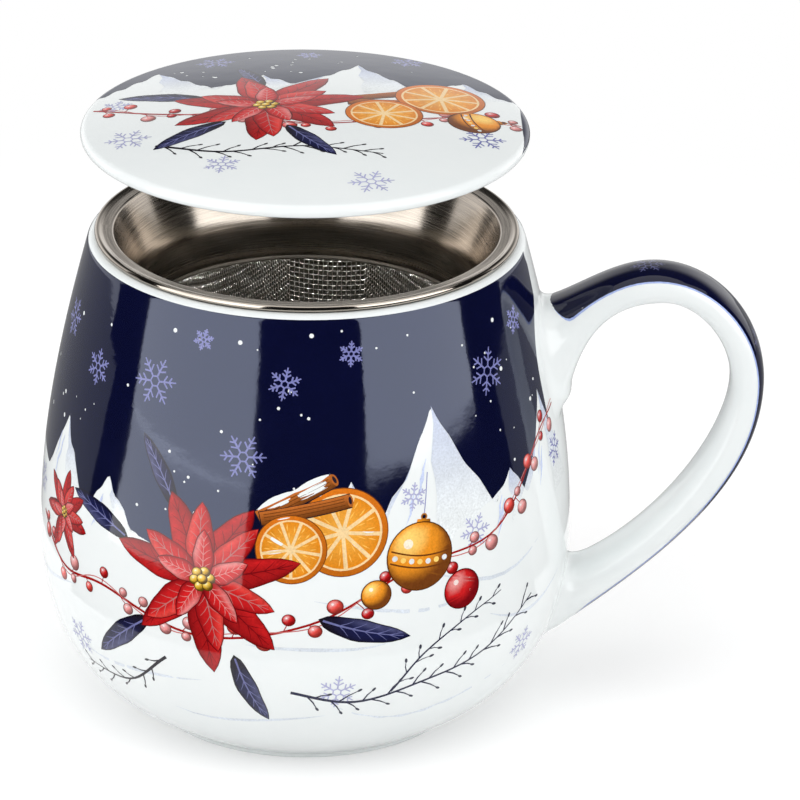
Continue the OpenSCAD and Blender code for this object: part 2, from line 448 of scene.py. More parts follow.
upper_top = np.array([outer_r(upper_joint_top) - 0.7, upper_joint_top])
upper_low = np.array([outer_r(upper_joint_low) - 1.1, upper_joint_low])
lower_top = np.array([outer_r(lower_joint_top) - 1.0, lower_joint_top])
lower_low = np.array([outer_r(lower_joint_low) + 1.0, lower_joint_low])
outer_crown = np.array([crown_x, crown_z])
inner_crown = np.array([crown_x + crown_shift, crown_z - strap_t])
outer_reach = np.array([reach_x, reach_z])
inner_reach = np.array([reach_x - strap_t, reach_z])
chin_z = 62.0
chin_h = 1.5
chin_depth = 0.5
handle_outer = [
    [upper_top, upper_top + (5.2, 1.2), outer_crown - 8 * right, outer_crown],
    [outer_crown, outer_crown + 11.4 * right, outer_reach + 11.2 * up, outer_reach],
    [outer_reach, outer_reach - 19.2 * up, lower_low + (22.2, 15.8), lower_low],
]
handle_inner = [
    [upper_low, upper_low + (2.4, 9.8), inner_crown - 15.6 * right, inner_crown],
    [inner_crown, inner_crown + 5.6 * right, inner_reach + 8.4 * up, inner_reach],
    [inner_reach, inner_reach - 11.5 * up, lower_top + (16.6, 6.5), lower_top],
]


def power(x, e):
    return np.sign(x) * np.abs(x) ** e


def strap_faces(s):
    """The strap's outer and inner line at s, which runs from 0 at the upper joint to 3 at the lower one."""
    s = np.clip(np.atleast_1d(s), 0, 3)
    piece = np.minimum(2, s.astype(int))
    return [np.select([(piece == k)[:, None] for k in range(3)], [bezier(line[k], s - k) for k in range(3)])
            for line in (handle_outer, handle_inner)]


def strap_width(s):
    return strap_w + upper_spread * np.maximum(0, 1 - s) ** 3 + lower_spread * np.maximum(0, s - 2) ** 8


def strap_point(s, a):
    """Points on the strap at s and at the angle a round its section, 0 being the middle of the outer face."""
    s, a = np.broadcast_arrays(np.asarray(s, float), np.asarray(a, float))
    shape = s.shape
    s, a = s.ravel(), a.ravel()
    outer, inner = strap_faces(s)
    p = (outer + inner) / 2 + (outer - inner) / 2 * power(np.cos(a), 2 / strap_square)[:, None]
    y = strap_width(s) / 2 * power(np.sin(a), 2 / strap_square)
    # The upper joint ends in a small chin, below which the strap runs out into the wall
    below = smooth(0.2, 0.8, -np.cos(a)) * (s < 1)
    chin = chin_depth * np.exp(-((p[:, 1] - chin_z) / chin_h) ** 2) * below
    ending = 0.75 * smooth(chin_z - 0.6, chin_z - 3.2, p[:, 1]) * below
    return np.stack([p[:, 0] + chin * 0.8 - ending, y, p[:, 1] - chin * 0.5], axis=1).reshape(shape + (3,))


def wall_normal(point):
    slope = outer_r(point[2] + 0.5) - outer_r(point[2] - 0.5)
    normal = np.array([*point[:2] / np.hypot(*point[:2]), -slope])
    return normal / np.linalg.norm(normal)


def quadratic(a, b, c, t):
    return (1 - t) ** 2 * a + 2 * t * (1 - t) * b + t * t * c


def handle_mesh():
    """The strap, whose lines curve onto the mug's wall at both ends in a fillet."""
    sides, steps, turn_steps, inside_steps = 72, 110, 8, 60
    inside_depth, root_depth, sink = 3, 1.2, 0.02
    # Points are closer together at the section's corners
    a = np.linspace(0, 2 * math.pi, sides, endpoint=False)
    a = a - 0.12 * np.sin(4 * a)
    s = np.linspace(0, 3, 1801)
    grid = strap_point(s[:, None], a[None, :])
    # The strap runs on level into the wall at both ends
    depth = np.linspace(0.05, inside_depth, inside_steps)[:, None, None] * np.array([1.0, 0, 0])
    grid = np.concatenate([grid[:1] - depth[::-1], grid, grid[-1:] - depth])
    s = np.pad(s, inside_steps, mode="edge")
    inside = np.hypot(grid[..., 0], grid[..., 1]) <= outer_r(grid[..., 2])
    normals = np.cross(np.roll(grid, -1, axis=1) - np.roll(grid, 1, axis=1), np.gradient(grid, axis=0))
    normals /= np.linalg.norm(normals, axis=2)[..., None] + 1e-12
    normals *= np.sign(np.sum(normals * (grid - grid.mean(axis=1, keepdims=True)), axis=2))[..., None]
    half = len(s) // 2
    lines = []
    for k in range(sides):
        side, inner = abs(math.sin(a[k])), max(0.0, -math.cos(a[k]))
        # How far the fillets reach along the wall differs round the section
        distance = path_length(grid[:, k])
        ends = []
        for i, way, reach in (
                (np.flatnonzero(inside[:half, k])[-1] + 1, 1, 1.2 + 1.5 * side - 0.5 * inner),
                (half + np.flatnonzero(inside[half:, k])[0] - 1, -1, 1.6 + 1.2 * side + 1.4 * inner)):
            corner, normal = grid[i, k], wall_normal(grid[i, k])
            away = normals[i, k] - normal * np.dot(normals[i, k], normal)
            base = corner + away / np.linalg.norm(away) * reach
            base[:2] *= (outer_r(base[2]) - sink) / np.hypot(*base[:2])
            ends.append((base, corner, np.interp(distance[i] + way * reach * 1.5, distance, s)))
        (base0, corner0, s0), (base1, corner1, s1) = ends
        run = strap_point(np.linspace(s0, s1, steps), np.full(steps, a[k]))
        t = np.linspace(0, 1, turn_steps, endpoint=False)[:, None]
        first = quadratic(base0, corner0, run[0], t)
        last = quadratic(run[-1], corner1, base1, t + 1 / turn_steps)
        lines.append(np.vstack([first, run, last]))
    rings = np.stack(lines, axis=1)
    rows = [list(range(i * sides, (i + 1) * sides)) for i in range(len(rings) + 4)]
    faces = [face for low, high in zip(rows, rows[1:len(rings)]) for face in band(low, high)]
    # Each end is closed inside the wall, on points of its own so that the skin's shading isn't bent
    roots = rings[[0, 0, -1, -1]].copy()
    for root in roots[1::2]:
        root[:, :2] *= (1 - root_depth / np.hypot(root[:, 0], root[:, 1]))[:, None]
    skin0, root0, skin1, root1 = rows[-4:]
    faces = [face[:1] + face[:0:-1] for face in faces + band(root0, skin0) + band(skin1, root1)]
    return np.concatenate([rings, roots]).reshape(-1, 3), faces + [tuple(root0), tuple(root1[::-1])]


new_piece("handle_porcelain", *handle_mesh(), porcelain, "mug", "porcelain", "handle")


# ---- Lid

lid_under_z = lid_top_z - dome_h - 2 * lid_edge_r
lid_edge = (lid_r - lid_edge_r, lid_under_z + lid_edge_r)
dome_r = (lid_edge[0] ** 2 + dome_h ** 2) / (2 * dome_h)
dome_angle = math.degrees(math.asin(lid_edge[0] / dome_r))
dome_centre = (0.0, lid_top_z - dome_r)
throat_r = rim_r - flange_w
ring_r = throat_r - ring_gap
under_r = dome_r - lid_t
under_angle = math.degrees(math.asin((ring_r - ring_w) / under_r))


def lid_profile():
    ring_low = (ring_r - ring_w / 2, lid_low[2] + ring_w / 4)
    line = np.vstack([
        arc(dome_centre, under_r, 90, 90 - under_angle, 24),
        arc((0, 0), ring_w / 2, 180, 360, 12) * (1, 0.5) + ring_low,
        [(ring_r, lid_under_z - 0.3), (ring_r + 0.3, lid_under_z)],
        arc(lid_edge, lid_edge_r, -90, 90 - dome_angle, 20),
        arc(dome_centre, dome_r, 90 - dome_angle, 90, 40)[1:],
    ])
    line[[0, -1], 0] = 0
    return line


new_piece("lid_porcelain", *lathe(lid_profile(), 256, centre=lid_x), porcelain, "lid", "porcelain", "lid")


# ---- Infuser

cone_z = flange_z - cone_h
# How far above and below its corner the cone bends over into the upright wall
bend_run = 2.6
# Where the rolled rim's round leaves for the flange, in degrees
roll_end = 112


def funnel_profile():
    knee = np.array([throat_r + knee_r, flange_z - knee_r])
    slope = (throat_r - skirt_r) / (cone_h - knee_r)
    roll = arc((rim_r - bead_r, rim_top_z - bead_r), bead_r, -150, roll_end, 30)
    leave = turned([(0, 0.4)], roll_end)[0]
    flange_start = np.array([rim_r - 3 * bead_r, flange_z])
    bend_points = [
        (skirt_r + max(0, run) * slope, cone_z + run) for run in bend_run * np.array([1, 0.3, -0.3, -1])]
    return np.vstack([
        roll,
        curve([roll[-1], roll[-1] + leave, flange_start + (0.35, 0), flange_start], 10)[1:],
        arc(knee, knee_r, 90, 180 - math.degrees(math.atan(slope)), 12),
        curve(bend_points, 16),
        [(skirt_r, skirt_low_z), (skirt_r + sheet_t, skirt_low_z), (skirt_r + sheet_t, cone_z)],
        [knee + (0.1, -0.1)],
    ])


new_piece("funnel_steel", *lathe(funnel_profile()[::-1], 256, closed=True), steel,
          "infuser", "sheet_steel", "infuser_funnel")

seam_r = (seam_high[2] - seam_low[2]) / 2
seam_line = arc((seam_high[0] - seam_r, seam_low[2] + seam_r), seam_r, 0, 330, 11)
new_piece("seam_wire", *lathe(seam_line, 192, closed=True), dull_steel, "infuser", "sheet_steel", "seam_ring")

# The cloth is a plain weave that was square before it was drawn into a cup. Each wire follows one
# coordinate of the flat cloth. On the cup's wall the wires run straight up where they meet it
# squarely, and they lean over and crowd together in between.
wire_pitch = 0.79
wire_r = 0.13
weave_height = 0.12
cloth_stretch = 0.84
cloth_turn = 6.5
cup_floor_r = 27.5 - basket_round
cup_mid = cloth_t / 2
# Out to here the cloth is as it was woven, and from here on its wires gather
turn_s = cup_floor_r + 6.0
# Half the angle within which the wires run straight up
square_turn = math.radians(14)


def cup_line():
    """The cloth's middle from the cup's centre out and up the wall, as (radius, height)."""
    corner = (cup_floor_r, basket_low[2] + basket_round)
    return np.vstack([
        [(0, basket_low[2] + cup_mid)],
        arc(corner, basket_round - cup_mid, 270, 360, 24),
        [(basket_high[0] - cup_mid, basket_high[2] - wire_r)],
    ])


cup = cup_line()
cup_s = path_length(cup)


def cup_at(s):
    """Radius and height of the cup's line at s."""
    return np.interp(s, cup_s, cup[:, 0]), np.interp(s, cup_s, cup[:, 1])


def lean(angle):
    return np.clip((angle - square_turn) / (math.pi / 2 - 2 * square_turn), 0, 1)


def flat_cloth(angle, h):
    """Where the flat cloth lay that now stands at an angle round the cup, h beyond turn_s."""
    return turn_s * np.sin(angle) + h * lean(angle), turn_s * np.cos(angle) + h * lean(math.pi / 2 - angle)


def cup_point(x, y, lift):
    """The point of the cup where the flat cloth's point (x, y) lies, lifted off its middle, and whether that
    is below the rim. Points past the rim lie on it."""
    qx, qy = np.abs(x), np.abs(y)
    r = np.hypot(qx, qy)
    floor_angle = np.arctan2(qx, qy)
    # A few Newton steps find the angle and the run up the wall
    angle, h, d = floor_angle, np.maximum(0.0, r - turn_s), 1e-5
    for _ in range(40):
        (fx, fy), (gx, gy) = flat_cloth(angle, h), flat_cloth(angle + d, h)
        ax, ay, bx, by = (gx - fx) / d, (gy - fy) / d, lean(angle), lean(math.pi / 2 - angle)
        fx, fy = fx - qx, fy - qy
        det = ax * by - bx * ay
        det = np.where(np.abs(det) < 1e-6, 1e-6, det)
        angle = np.clip(angle - np.clip((fx * by - bx * fy) / det, -0.15, 0.15), 0, math.pi / 2)
        h = np.maximum(0, h - np.clip((ax * fy - ay * fx) / det, -6, 6))
    on_wall = r > turn_s
    s = np.where(on_wall, turn_s + h / cloth_stretch, r)
    angle = np.where(on_wall, angle, floor_angle)
    (radius, height), (r0, z0), (r1, z1) = cup_at(s), cup_at(s - 0.02), cup_at(s + 0.02)
    share = lift / (np.hypot(r1 - r0, z1 - z0) + 1e-9)
    # The lift goes along the cloth's inward normal
    radius, height = radius - share * (z1 - z0), height + share * (r1 - r0)
    across = np.stack([radius * np.sin(angle) * np.sign(x), radius * np.cos(angle) * np.sign(y)], axis=-1)
    across = turned(across.reshape(-1, 2), -cloth_turn).reshape(across.shape)
    return np.concatenate([across, height[..., None]], axis=-1), s < cup_s[-1]


def tube(path, r, sides=4):
    """Points and faces of a thin round wire along a path."""
    tangent = np.gradient(path, axis=0)
    tangent /= np.linalg.norm(tangent, axis=1)[:, None]
    side = np.cross(tangent, path - (0, 0, 55))
    side /= np.linalg.norm(side, axis=1)[:, None]
    turn = arc((0, 0), r, 0, 360, sides)[:-1, :, None]
    ring = path[:, None] + turn[:, 0] * side[:, None] + turn[:, 1] * np.cross(tangent, side)[:, None]
    rows = [list(range(i * sides, (i + 1) * sides)) for i in range(len(path))]
    return ring.reshape(-1, 3), [face for low, high in zip(rows, rows[1:]) for face in band(low, high)]


def weave():
    """Both families of wires, which wave over and under each other, with a node at each top and halfway."""
    reach = int((turn_s + (cup_s[-1] - turn_s) * cloth_stretch) / wire_pitch) + 2
    index = np.arange(-reach, reach + 1)
    halves = np.arange(-2 * reach, 2 * reach + 1) / 2
    shortest_run = 5
    across, along = np.meshgrid(index, halves, indexing="ij")
    wave = weave_height * (1 - 2 * (across % 2)) * np.cos(math.pi * along)
    across, along = across * wire_pitch + 1e-4, along * wire_pitch + 1e-4
    for name, x, y, lift in (("warp", across, along, wave), ("weft", along, across, -wave)):
        grid, below = cup_point(x, y, lift)
        # Each wire ends on the rim, one node past its last free one
        good = below | np.roll(below, 1, axis=1) | np.roll(below, -1, axis=1)
        for part, lines in enumerate(np.array_split(np.arange(len(index)), 4)):
            points, faces, count = [], [], 0
            for i in lines:
                runs = np.flatnonzero(np.diff(np.concatenate([[0], good[i].astype(int), [0]])))
                for start, stop in zip(runs[::2], runs[1::2]):
                    if stop - start >= shortest_run:
                        p, f = tube(grid[i, start:stop], wire_r)
                        points.append(p)
                        faces += (np.array(f) + count).tolist()
                        count += len(p)
            new_piece(f"basket_{name}_{part}", np.vstack(points), faces, wire,
                      "infuser", "wire_cloth", "mesh_basket")


weave()


# ---- Printed surfaces. A place is (across, along, turn): its local x and y are in millimetres.

class Surface:
    """What the printed surfaces share. Flat coordinates are millimetres across and along the surface."""

    def at(self, s):
        """Radius and height of the surface's outline at s."""
        return np.interp(s, self.s, self.line[:, 0]), np.interp(s, self.s, self.line[:, 1])

    def flat(self, place, local):
        return turned(local, place[2]) + np.array(place[:2])

    def local(self, place, flat):
        return turned(flat - np.array(place[:2]), -place[2])

    def flat_path(self, places):
        """Flat coordinates of some places (across, along)."""
        return np.vstack([self.flat((*place, 0), [(0, 0)]) for place in places])

    def turned_solid(self, out, s, way, reach, centre=0.0):
        """Points and normals at s on the outline turned about Z, in the directions out.

        way is 1 for an outline that runs upwards and -1 for one that runs outwards.
        """
        (r0, z0), (r, z), (r1, z1) = self.at(s - reach), self.at(s), self.at(s + reach)
        length = np.hypot(r1 - r0, z1 - z0) * way
        points = np.column_stack([out * r[:, None] + (centre, 0), z])
        return points, np.column_stack([out * ((z1 - z0) / length)[:, None], (r0 - r1) / length])


class MugSide(Surface):
    """The mug's outside. A place is (bearing from the front in degrees, height, turn)."""
    # Radius of the cylinder that the print is drawn on
    ref = 45.0
    line = np.vstack([outer_line, arc(lip_centre, lip_round, math.degrees(lip_lean), 80, 10)[1:]])
    s = path_length(line)

    def radius(self, s):
        return self.at(s)[0]

    def s_at(self, z):
        return np.interp(z, self.line[:, 1], self.s)

    def flat(self, place, local):
        bearing, z, turn = place
        local = turned(local, turn)
        s = self.s_at(z) + local[:, 1]
        x = math.radians(bearing) * self.ref + local[:, 0] / self.radius(s) * self.ref
        return pairs(x, s)

    def local(self, place, flat):
        bearing, z, turn = place
        x = (flat[:, 0] / self.ref - math.radians(bearing)) * self.radius(flat[:, 1])
        return turned(pairs(x, flat[:, 1] - self.s_at(z)), -turn)

    def solid(self, flat):
        a = flat[:, 0] / self.ref
        return self.turned_solid(pairs(np.sin(a), -np.cos(a)), flat[:, 1], 1, 0.3)


class LidTop(Surface):
    """The lid's upper face, seen from above. A place is (x, y, turn) from the lid's middle."""
    line = np.vstack([
        arc(dome_centre, dome_r, 90, 90 - dome_angle, 40),
        arc(lid_edge, lid_edge_r, 90 - dome_angle, -30, 16)[1:],
    ])
    s = path_length(line)

    def solid(self, flat):
        s = np.hypot(flat[:, 0], flat[:, 1])
        return self.turned_solid(flat / np.maximum(s, 1e-9)[:, None], s, -1, 0.2, lid_x)


class HandleBack(Surface):
    """The strap's outer face. A place is (distance along it from the upper joint, y, turn)."""
    steps = np.linspace(0, 3, 601)
    line = strap_faces(steps)[0]
    s = path_length(line)

    def point(self, along, y):
        s = np.interp(along, self.s, self.steps)
        ratio = np.clip(2 * np.abs(y) / strap_width(s), 0, 0.97)
        return strap_point(s, np.arcsin(ratio ** (strap_square / 2)) * np.sign(y))

    def solid(self, flat):
        along, y = flat[:, 0], flat[:, 1]
        d_along = self.point(along + 0.1, y) - self.point(along - 0.1, y)
        d_y = self.point(along, y + 0.06) - self.point(along, y - 0.06)
        normals = np.cross(d_along, d_y)
        return self.point(along, y), normals / np.linalg.norm(normals, axis=1)[:, None]


def mix(a, b, t):
    t = np.clip(np.asarray(t, float), 0, 1)[:, None]
    return a * (1 - t) + b * t


def plain(colour):
    return lambda p: np.tile(colour, (len(p), 1))


def ball_shade(centre, r, dark, base, light):
    """The shading of a ball that is lit from its upper left."""
    def shade(p):
        x, y = (p[:, 0] - centre[0]) / r, (p[:, 1] - centre[1]) / r
        lit = np.clip(-0.42 * x + 0.5 * y + 0.75 * np.sqrt(np.maximum(0, 1 - x * x - y * y)), 0, 1)
        colour = mix(dark, base, smooth(0.1, 0.7, lit))
        return colour + (light - colour) * smooth(0.72, 1.0, lit)[:, None]
    return shade


class Art:
    """Shapes printed on one surface, in paint order. One triangulation holds all their edges, and each
    triangle takes the colour of the last shape that covers it, so the print is a single skin."""

    def __init__(self, surface, name, body):
        self.surface, self.name, self.body = surface, name, body
        self.shapes = []
        self.spots = []

    def shape(self, place, outline, group, shade, inner=None):
        """shade gives colours from local points, and a group of None leaves the porcelain bare."""
        self.shapes.append((place, self.surface.flat(place, outline), group, shade))
        if inner is not None and len(inner):
            self.spots.append(self.surface.flat(place, inner))

    def flat_shape(self, outline, group, shade):
        """A shape that is given straight in the surface's flat coordinates."""
        self.shapes.append((None, np.asarray(outline, float), group, shade))

    def line(self, outline, group, colour):
        self.flat_shape(outline, group, plain(colour))

    def berry(self, centre, r, dark, base, light):
        """A small round berry at a point of the flat coordinates."""
        self.line(circle(r + 0.12, 20) + centre, "flowers", dark * 0.6)
        self.flat_shape(circle(r, 18) + centre, "flowers", ball_shade(centre, r, dark, base, light))
        self.spots.append(np.vstack([[(0, 0)], circle(r * 0.6, 8)]) + centre)
        self.line(circle(0.17 * r, 8) + centre + (-0.33 * r, 0.38 * r), "flowers", light * 0.3 + 0.6)

    def owners(self, centres):
        """The last shape that covers each point, or -1."""
        order = np.argsort(centres[:, 0])
        x, y = centres[order, 0], centres[order, 1]
        owner = np.full(len(centres), -1)
        for i, (_, outline, _, _) in enumerate(self.shapes):
            (low_x, low_y), (high_x, high_y) = outline.min(axis=0), outline.max(axis=0)
            start, stop = np.searchsorted(x, (low_x, high_x))
            near = start + np.flatnonzero((y[start:stop] > low_y) & (y[start:stop] < high_y))
            px, py = x[near][:, None], y[near][:, None]
            (x0, y0), (x1, y1) = outline.T, np.roll(outline, -1, axis=0).T
            across = (x1 - x0) * (py - y0) - (px - x0) * (y1 - y0)
            rising, falling = (y0 <= py) & (y1 > py) & (across > 0), (y0 > py) & (y1 <= py) & (across < 0)
            owner[order[near[rising.sum(axis=1) != falling.sum(axis=1)]]] = i
        return owner

    def make(self, low, high, step):
        """A piece for each group of shapes. A grid from low to high lets them follow the surface."""
        lift, row_shift = 0.03, 0.37
        xs = np.arange(low[0], high[0], step)
        ys = np.arange(low[1], high[1], step)
        grid = np.stack(np.meshgrid(xs, ys, indexing="ij"), axis=-1).reshape(-1, 2)
        grid[:, 1] += row_shift * step * (np.arange(len(grid)) // len(ys) % 2)
        faces, start = [], len(grid) + sum(len(spot) for spot in self.spots)
        for _, flat, _, _ in self.shapes:
            faces.append(list(range(start, start + len(flat))))
            start += len(flat)
        stack = np.vstack([grid] + self.spots + [flat for _, flat, _, _ in self.shapes])
        corners = [Vector(p) for p in stack.tolist()]
        verts, _, tris, _, _, _ = delaunay_2d_cdt(corners, [], faces, 0, 1e-5, True)
        flat, tris = np.array([tuple(v) for v in verts]), np.array(list(tris), dtype=int)
        owner = self.owners(flat[tris].mean(axis=1))
        colours = np.zeros((len(tris), 3, 3))
        groups = np.full(len(tris), "", dtype=object)
        for i in np.unique(owner[owner >= 0]):
            place, _, group, shade = self.shapes[i]
            if group is None:
                continue
            mine = np.flatnonzero(owner == i)
            corners = flat[tris[mine]].reshape(-1, 2)
            local = corners if place is None else self.surface.local(place, corners)
            colours[mine] = np.asarray(shade(local)).reshape(-1, 3, 3)
            groups[mine] = group
        for group in sorted(set(groups) - {""}):
            mine = groups == group
            used, corner = np.unique(tris[mine].ravel(), return_inverse=True)
            points, normals = self.surface.solid(flat[used])
            new_piece(
                f"{self.name}_{group}", points + normals * lift, corner.reshape(-1, 3).tolist(),
                prints[group], self.body, "porcelain", normals=normals,
                colours=np.clip(colours[mine].reshape(-1, 3), 0, 1))


prints = {name: make_print(f"print_{name}") for name in ("night", "flowers", "fruit", "lines", "stripe")}
# The cobalt layer is thick and glassy, and tints what it mirrors
night_shader = prints["night"].node_tree.nodes["Principled BSDF"]
night_shader.inputs["Specular IOR Level"].default_value = 0.95
night_shader.inputs["Specular Tint"].default_value = (0.70, 0.78, 1.0, 1)


# ---- Motifs

NAVY = np.array((0.0024, 0.0033, 0.0225))
FLAKE_ON_NIGHT = np.array((0.19, 0.20, 0.44))
FLAKE_ON_SNOW = np.array((0.42, 0.43, 0.64))
RED = np.array((0.60, 0.014, 0.016))
DEEP_RED = np.array((0.17, 0.003, 0.006))
BRIGHT_RED = np.array((0.80, 0.075, 0.06))
PINK = np.array((0.80, 0.30, 0.29))
GOLD = np.array((0.80, 0.28, 0.018))
BROWN = np.array((0.16, 0.045, 0.008))
DARK = np.array((0.012, 0.009, 0.016))
SNOW = np.array((0.80, 0.835, 0.84))
ICE = np.array((0.46, 0.52, 0.70))
GLEAM = np.array((0.95, 0.62, 0.16))
# The dark, middle and light colour of a ball, and those of a leaf with its vein
GILT = (BROWN, GOLD, GLEAM)
NIGHT_LEAF = (DARK, NAVY * 2.4 + 0.004, FLAKE_ON_NIGHT * 0.55, FLAKE_ON_NIGHT * 0.8)
POLLEN = np.array(((0.10, 0.05, 0.004), (0.72, 0.42, 0.03), (0.9, 0.75, 0.25)))


def circle(r, count, squash=1.0):
    a = np.linspace(0, 2 * math.pi, count, endpoint=False)
    return pairs(r * np.cos(a), r * squash * np.sin(a))


def disc_points(r):
    """Points inside a disc, which carry its shading."""
    return np.vstack([[(0, 0)]] + [circle(r * k, max(6, int(24 * k))) for k in (0.25, 0.5, 0.7, 0.86)])


def ribbon(points, widths):
    """The outline of a line with a width at each of its points."""
    points = np.asarray(points, float)
    widths = np.broadcast_to(np.asarray(widths, float), len(points))
    tangent = np.gradient(points, axis=0)
    tangent /= np.linalg.norm(tangent, axis=1)[:, None]
    side = pairs(-tangent[:, 1], tangent[:, 0]) * widths[:, None] / 2
    return np.vstack([points - side, (points + side)[::-1]])


def bend(points, steps):
    """A smooth line through some points."""
    points = np.asarray(points, float)
    padded = np.vstack([2 * points[0] - points[1], points, 2 * points[-1] - points[-2]])
    out = []
    for i in range(1, len(padded) - 2):
        a, b, c, d = padded[i - 1:i + 3]
        for t in np.linspace(0, 1, steps, endpoint=False):
            out.append(0.5 * (2 * b + (c - a) * t + (2 * a - 5 * b + 4 * c - d) * t * t
                              + (3 * b - a - 3 * c + d) * t ** 3))
    out.append(points[-1])
    return np.array(out)


def snowflake(art, place, r, colour, width):
    """Six straight arms, each with two pairs of barbs, round a small hexagon."""
    a = math.radians(60)
    strokes = [([(0.2 * r, 0), (0.6 * r, 0), (r, 0)], (width, width, width * 0.7))]
    for start, size in ((0.42, 0.3), (0.68, 0.22)):
        for side in (-1, 1):
            tip = (start * r + size * r * 0.6, side * size * r * 0.85)
            strokes.append(([(start * r, side * 0.01), tip], width * 0.85))
    strokes.append(([(0.22 * r, 0), (0.22 * r * math.cos(a), 0.22 * r * math.sin(a))], width * 0.8))
    for arm in range(6):
        for line, widths in strokes:
            art.shape((*place[:2], place[2] + 60 * arm), ribbon(line, widths), "lines", plain(colour))


def snowflakes(art, colour, width, places):
    """A snowflake at each place (across, along, turn, size)."""
    for *place, r in places:
        snowflake(art, place, r, colour, width)


def leaf_width(t, width):
    """Half the width of a leaf at the share t of its length."""
    return width / 2 * 1.72 * np.maximum(t, 0) ** 0.62 * np.maximum(1 - t, 0) ** 0.8


def leaf_outline(length, width, sweep, swell=0.0):
    t = np.linspace(0, 1, 13) ** 1.05
    x = -swell + (length + 2.2 * swell) * t
    y = sweep * length * t * t
    half = leaf_width(t, width) * (1 + 0.045 * np.sin(17 * t + 3 * sweep))
    half += swell * np.sin(math.pi * t) ** 0.4
    half[0] = max(half[0], 0.02)
    half[-1] = 0.0
    lower = pairs(x, y - half)
    upper = pairs(x, y + half)[::-1]
    return np.vstack([lower, upper[1:]])


def leaf_inner(length, width, sweep):
    t = np.linspace(0.12, 0.88, 7)
    middle, half = sweep * length * t * t, leaf_width(t, width)
    return np.vstack([pairs(length * t, middle + v * half) for v in (-0.66, -0.33, 0.33, 0.66)])


def leaf_shade(length, width, sweep, dark, base, light):
    def shade(p):
        t = np.clip(p[:, 0] / length, 0, 1)
        v = np.clip((p[:, 1] - sweep * length * t * t) / (leaf_width(t, width) + 1e-6), -1, 1)
        colour = mix(dark, base, smooth(0.0, 0.45, t) - 0.35 * smooth(0.3, 0.95, -v))
        colour = colour + (light - colour) * (0.75 * smooth(0.05, 0.8, v) * smooth(0.15, 0.6, t))[:, None]
        return colour * (1 - 0.35 * smooth(0.75, 1.0, np.abs(v)))[:, None]
    return shade


def leaf(art, place, length, width, sweep, dark, base, light, vein):
    """A pointed leaf or petal with a midrib and five pairs of veins."""
    group = "flowers"
    art.shape(place, leaf_outline(length, width, sweep, swell=0.17), group, plain(dark * 0.75))
    art.shape(place, leaf_outline(length, width, sweep), group,
              leaf_shade(length, width, sweep, dark, base, light), leaf_inner(length, width, sweep))
    t = np.linspace(0.04, 0.93, 6)
    middle = pairs(length * t, sweep * length * t * t)
    art.shape(place, ribbon(middle, np.linspace(0.024, 0.006, 6) * length), group, plain(vein))
    for t in (0.22, 0.36, 0.5, 0.64, 0.77):
        start = np.array([length * t, sweep * length * t * t])
        for side in (-1, 1):
            reach = leaf_width(np.array([t + 0.12]), width)[0] * 0.78
            end = np.array([length * (t + 0.13), sweep * length * (t + 0.13) ** 2 + side * reach])
            art.shape(place, ribbon([start, (start + end) / 2 + (0.15, 0), end], (0.16, 0.12, 0.05)), group,
                      plain(vein * (0.92 if side < 0 else 1.0)))


def ball(art, place, r, dark, base, light):
    group, count = "fruit", 36
    art.shape(place, circle(r + min(0.2, 0.08 * r + 0.06), count), group, plain(dark * 0.5))
    art.shape(place, circle(r, count), group, ball_shade((0, 0), r, dark, base, light),
              disc_points(r) if r > 1.5 else None)
    glint = turned([(-0.36 * r, 0.42 * r)], -place[2])[0]
    art.shape(place, circle(0.15 * r, 10) + glint, group, plain(light * 0.3 + np.array((0.65, 0.63, 0.6))))


def poinsettia(art, place, r, seed):
    """Three layers of red leaves round seven yellow buds."""
    rng = np.random.default_rng(seed)
    bearing, height, turn = place
    layers = (
        (7, 1.0, 0.50, 0.0, DEEP_RED * 0.9, RED * 0.62, RED, DEEP_RED),
        (6, 0.82, 0.44, 27.0, DEEP_RED, RED * 0.9, BRIGHT_RED, PINK * 0.55),
        (5, 0.55, 0.32, 8.0, DEEP_RED, RED, PINK, PINK * 0.8),
    )
    for count, size, width, offset, dark, base, light, vein in layers:
        for k in rng.permutation(count):
            angle = turn + offset + 360 * k / count + rng.uniform(-7, 7)
            length = r * size * rng.uniform(0.88, 1.06)
            leaf(art, (bearing, height, angle), length, r * width * rng.uniform(0.9, 1.08),
                 rng.uniform(-0.14, 0.14), dark, base, light, vein)
    for k in range(7):
        angle = math.radians(360 * k / 6 + turn)
        at = (0.0, 0.0) if k == 6 else (0.085 * r * math.cos(angle), 0.085 * r * math.sin(angle))
        art.berry(art.surface.flat(place[:2] + (0,), [at])[0], 0.05 * r, *POLLEN)


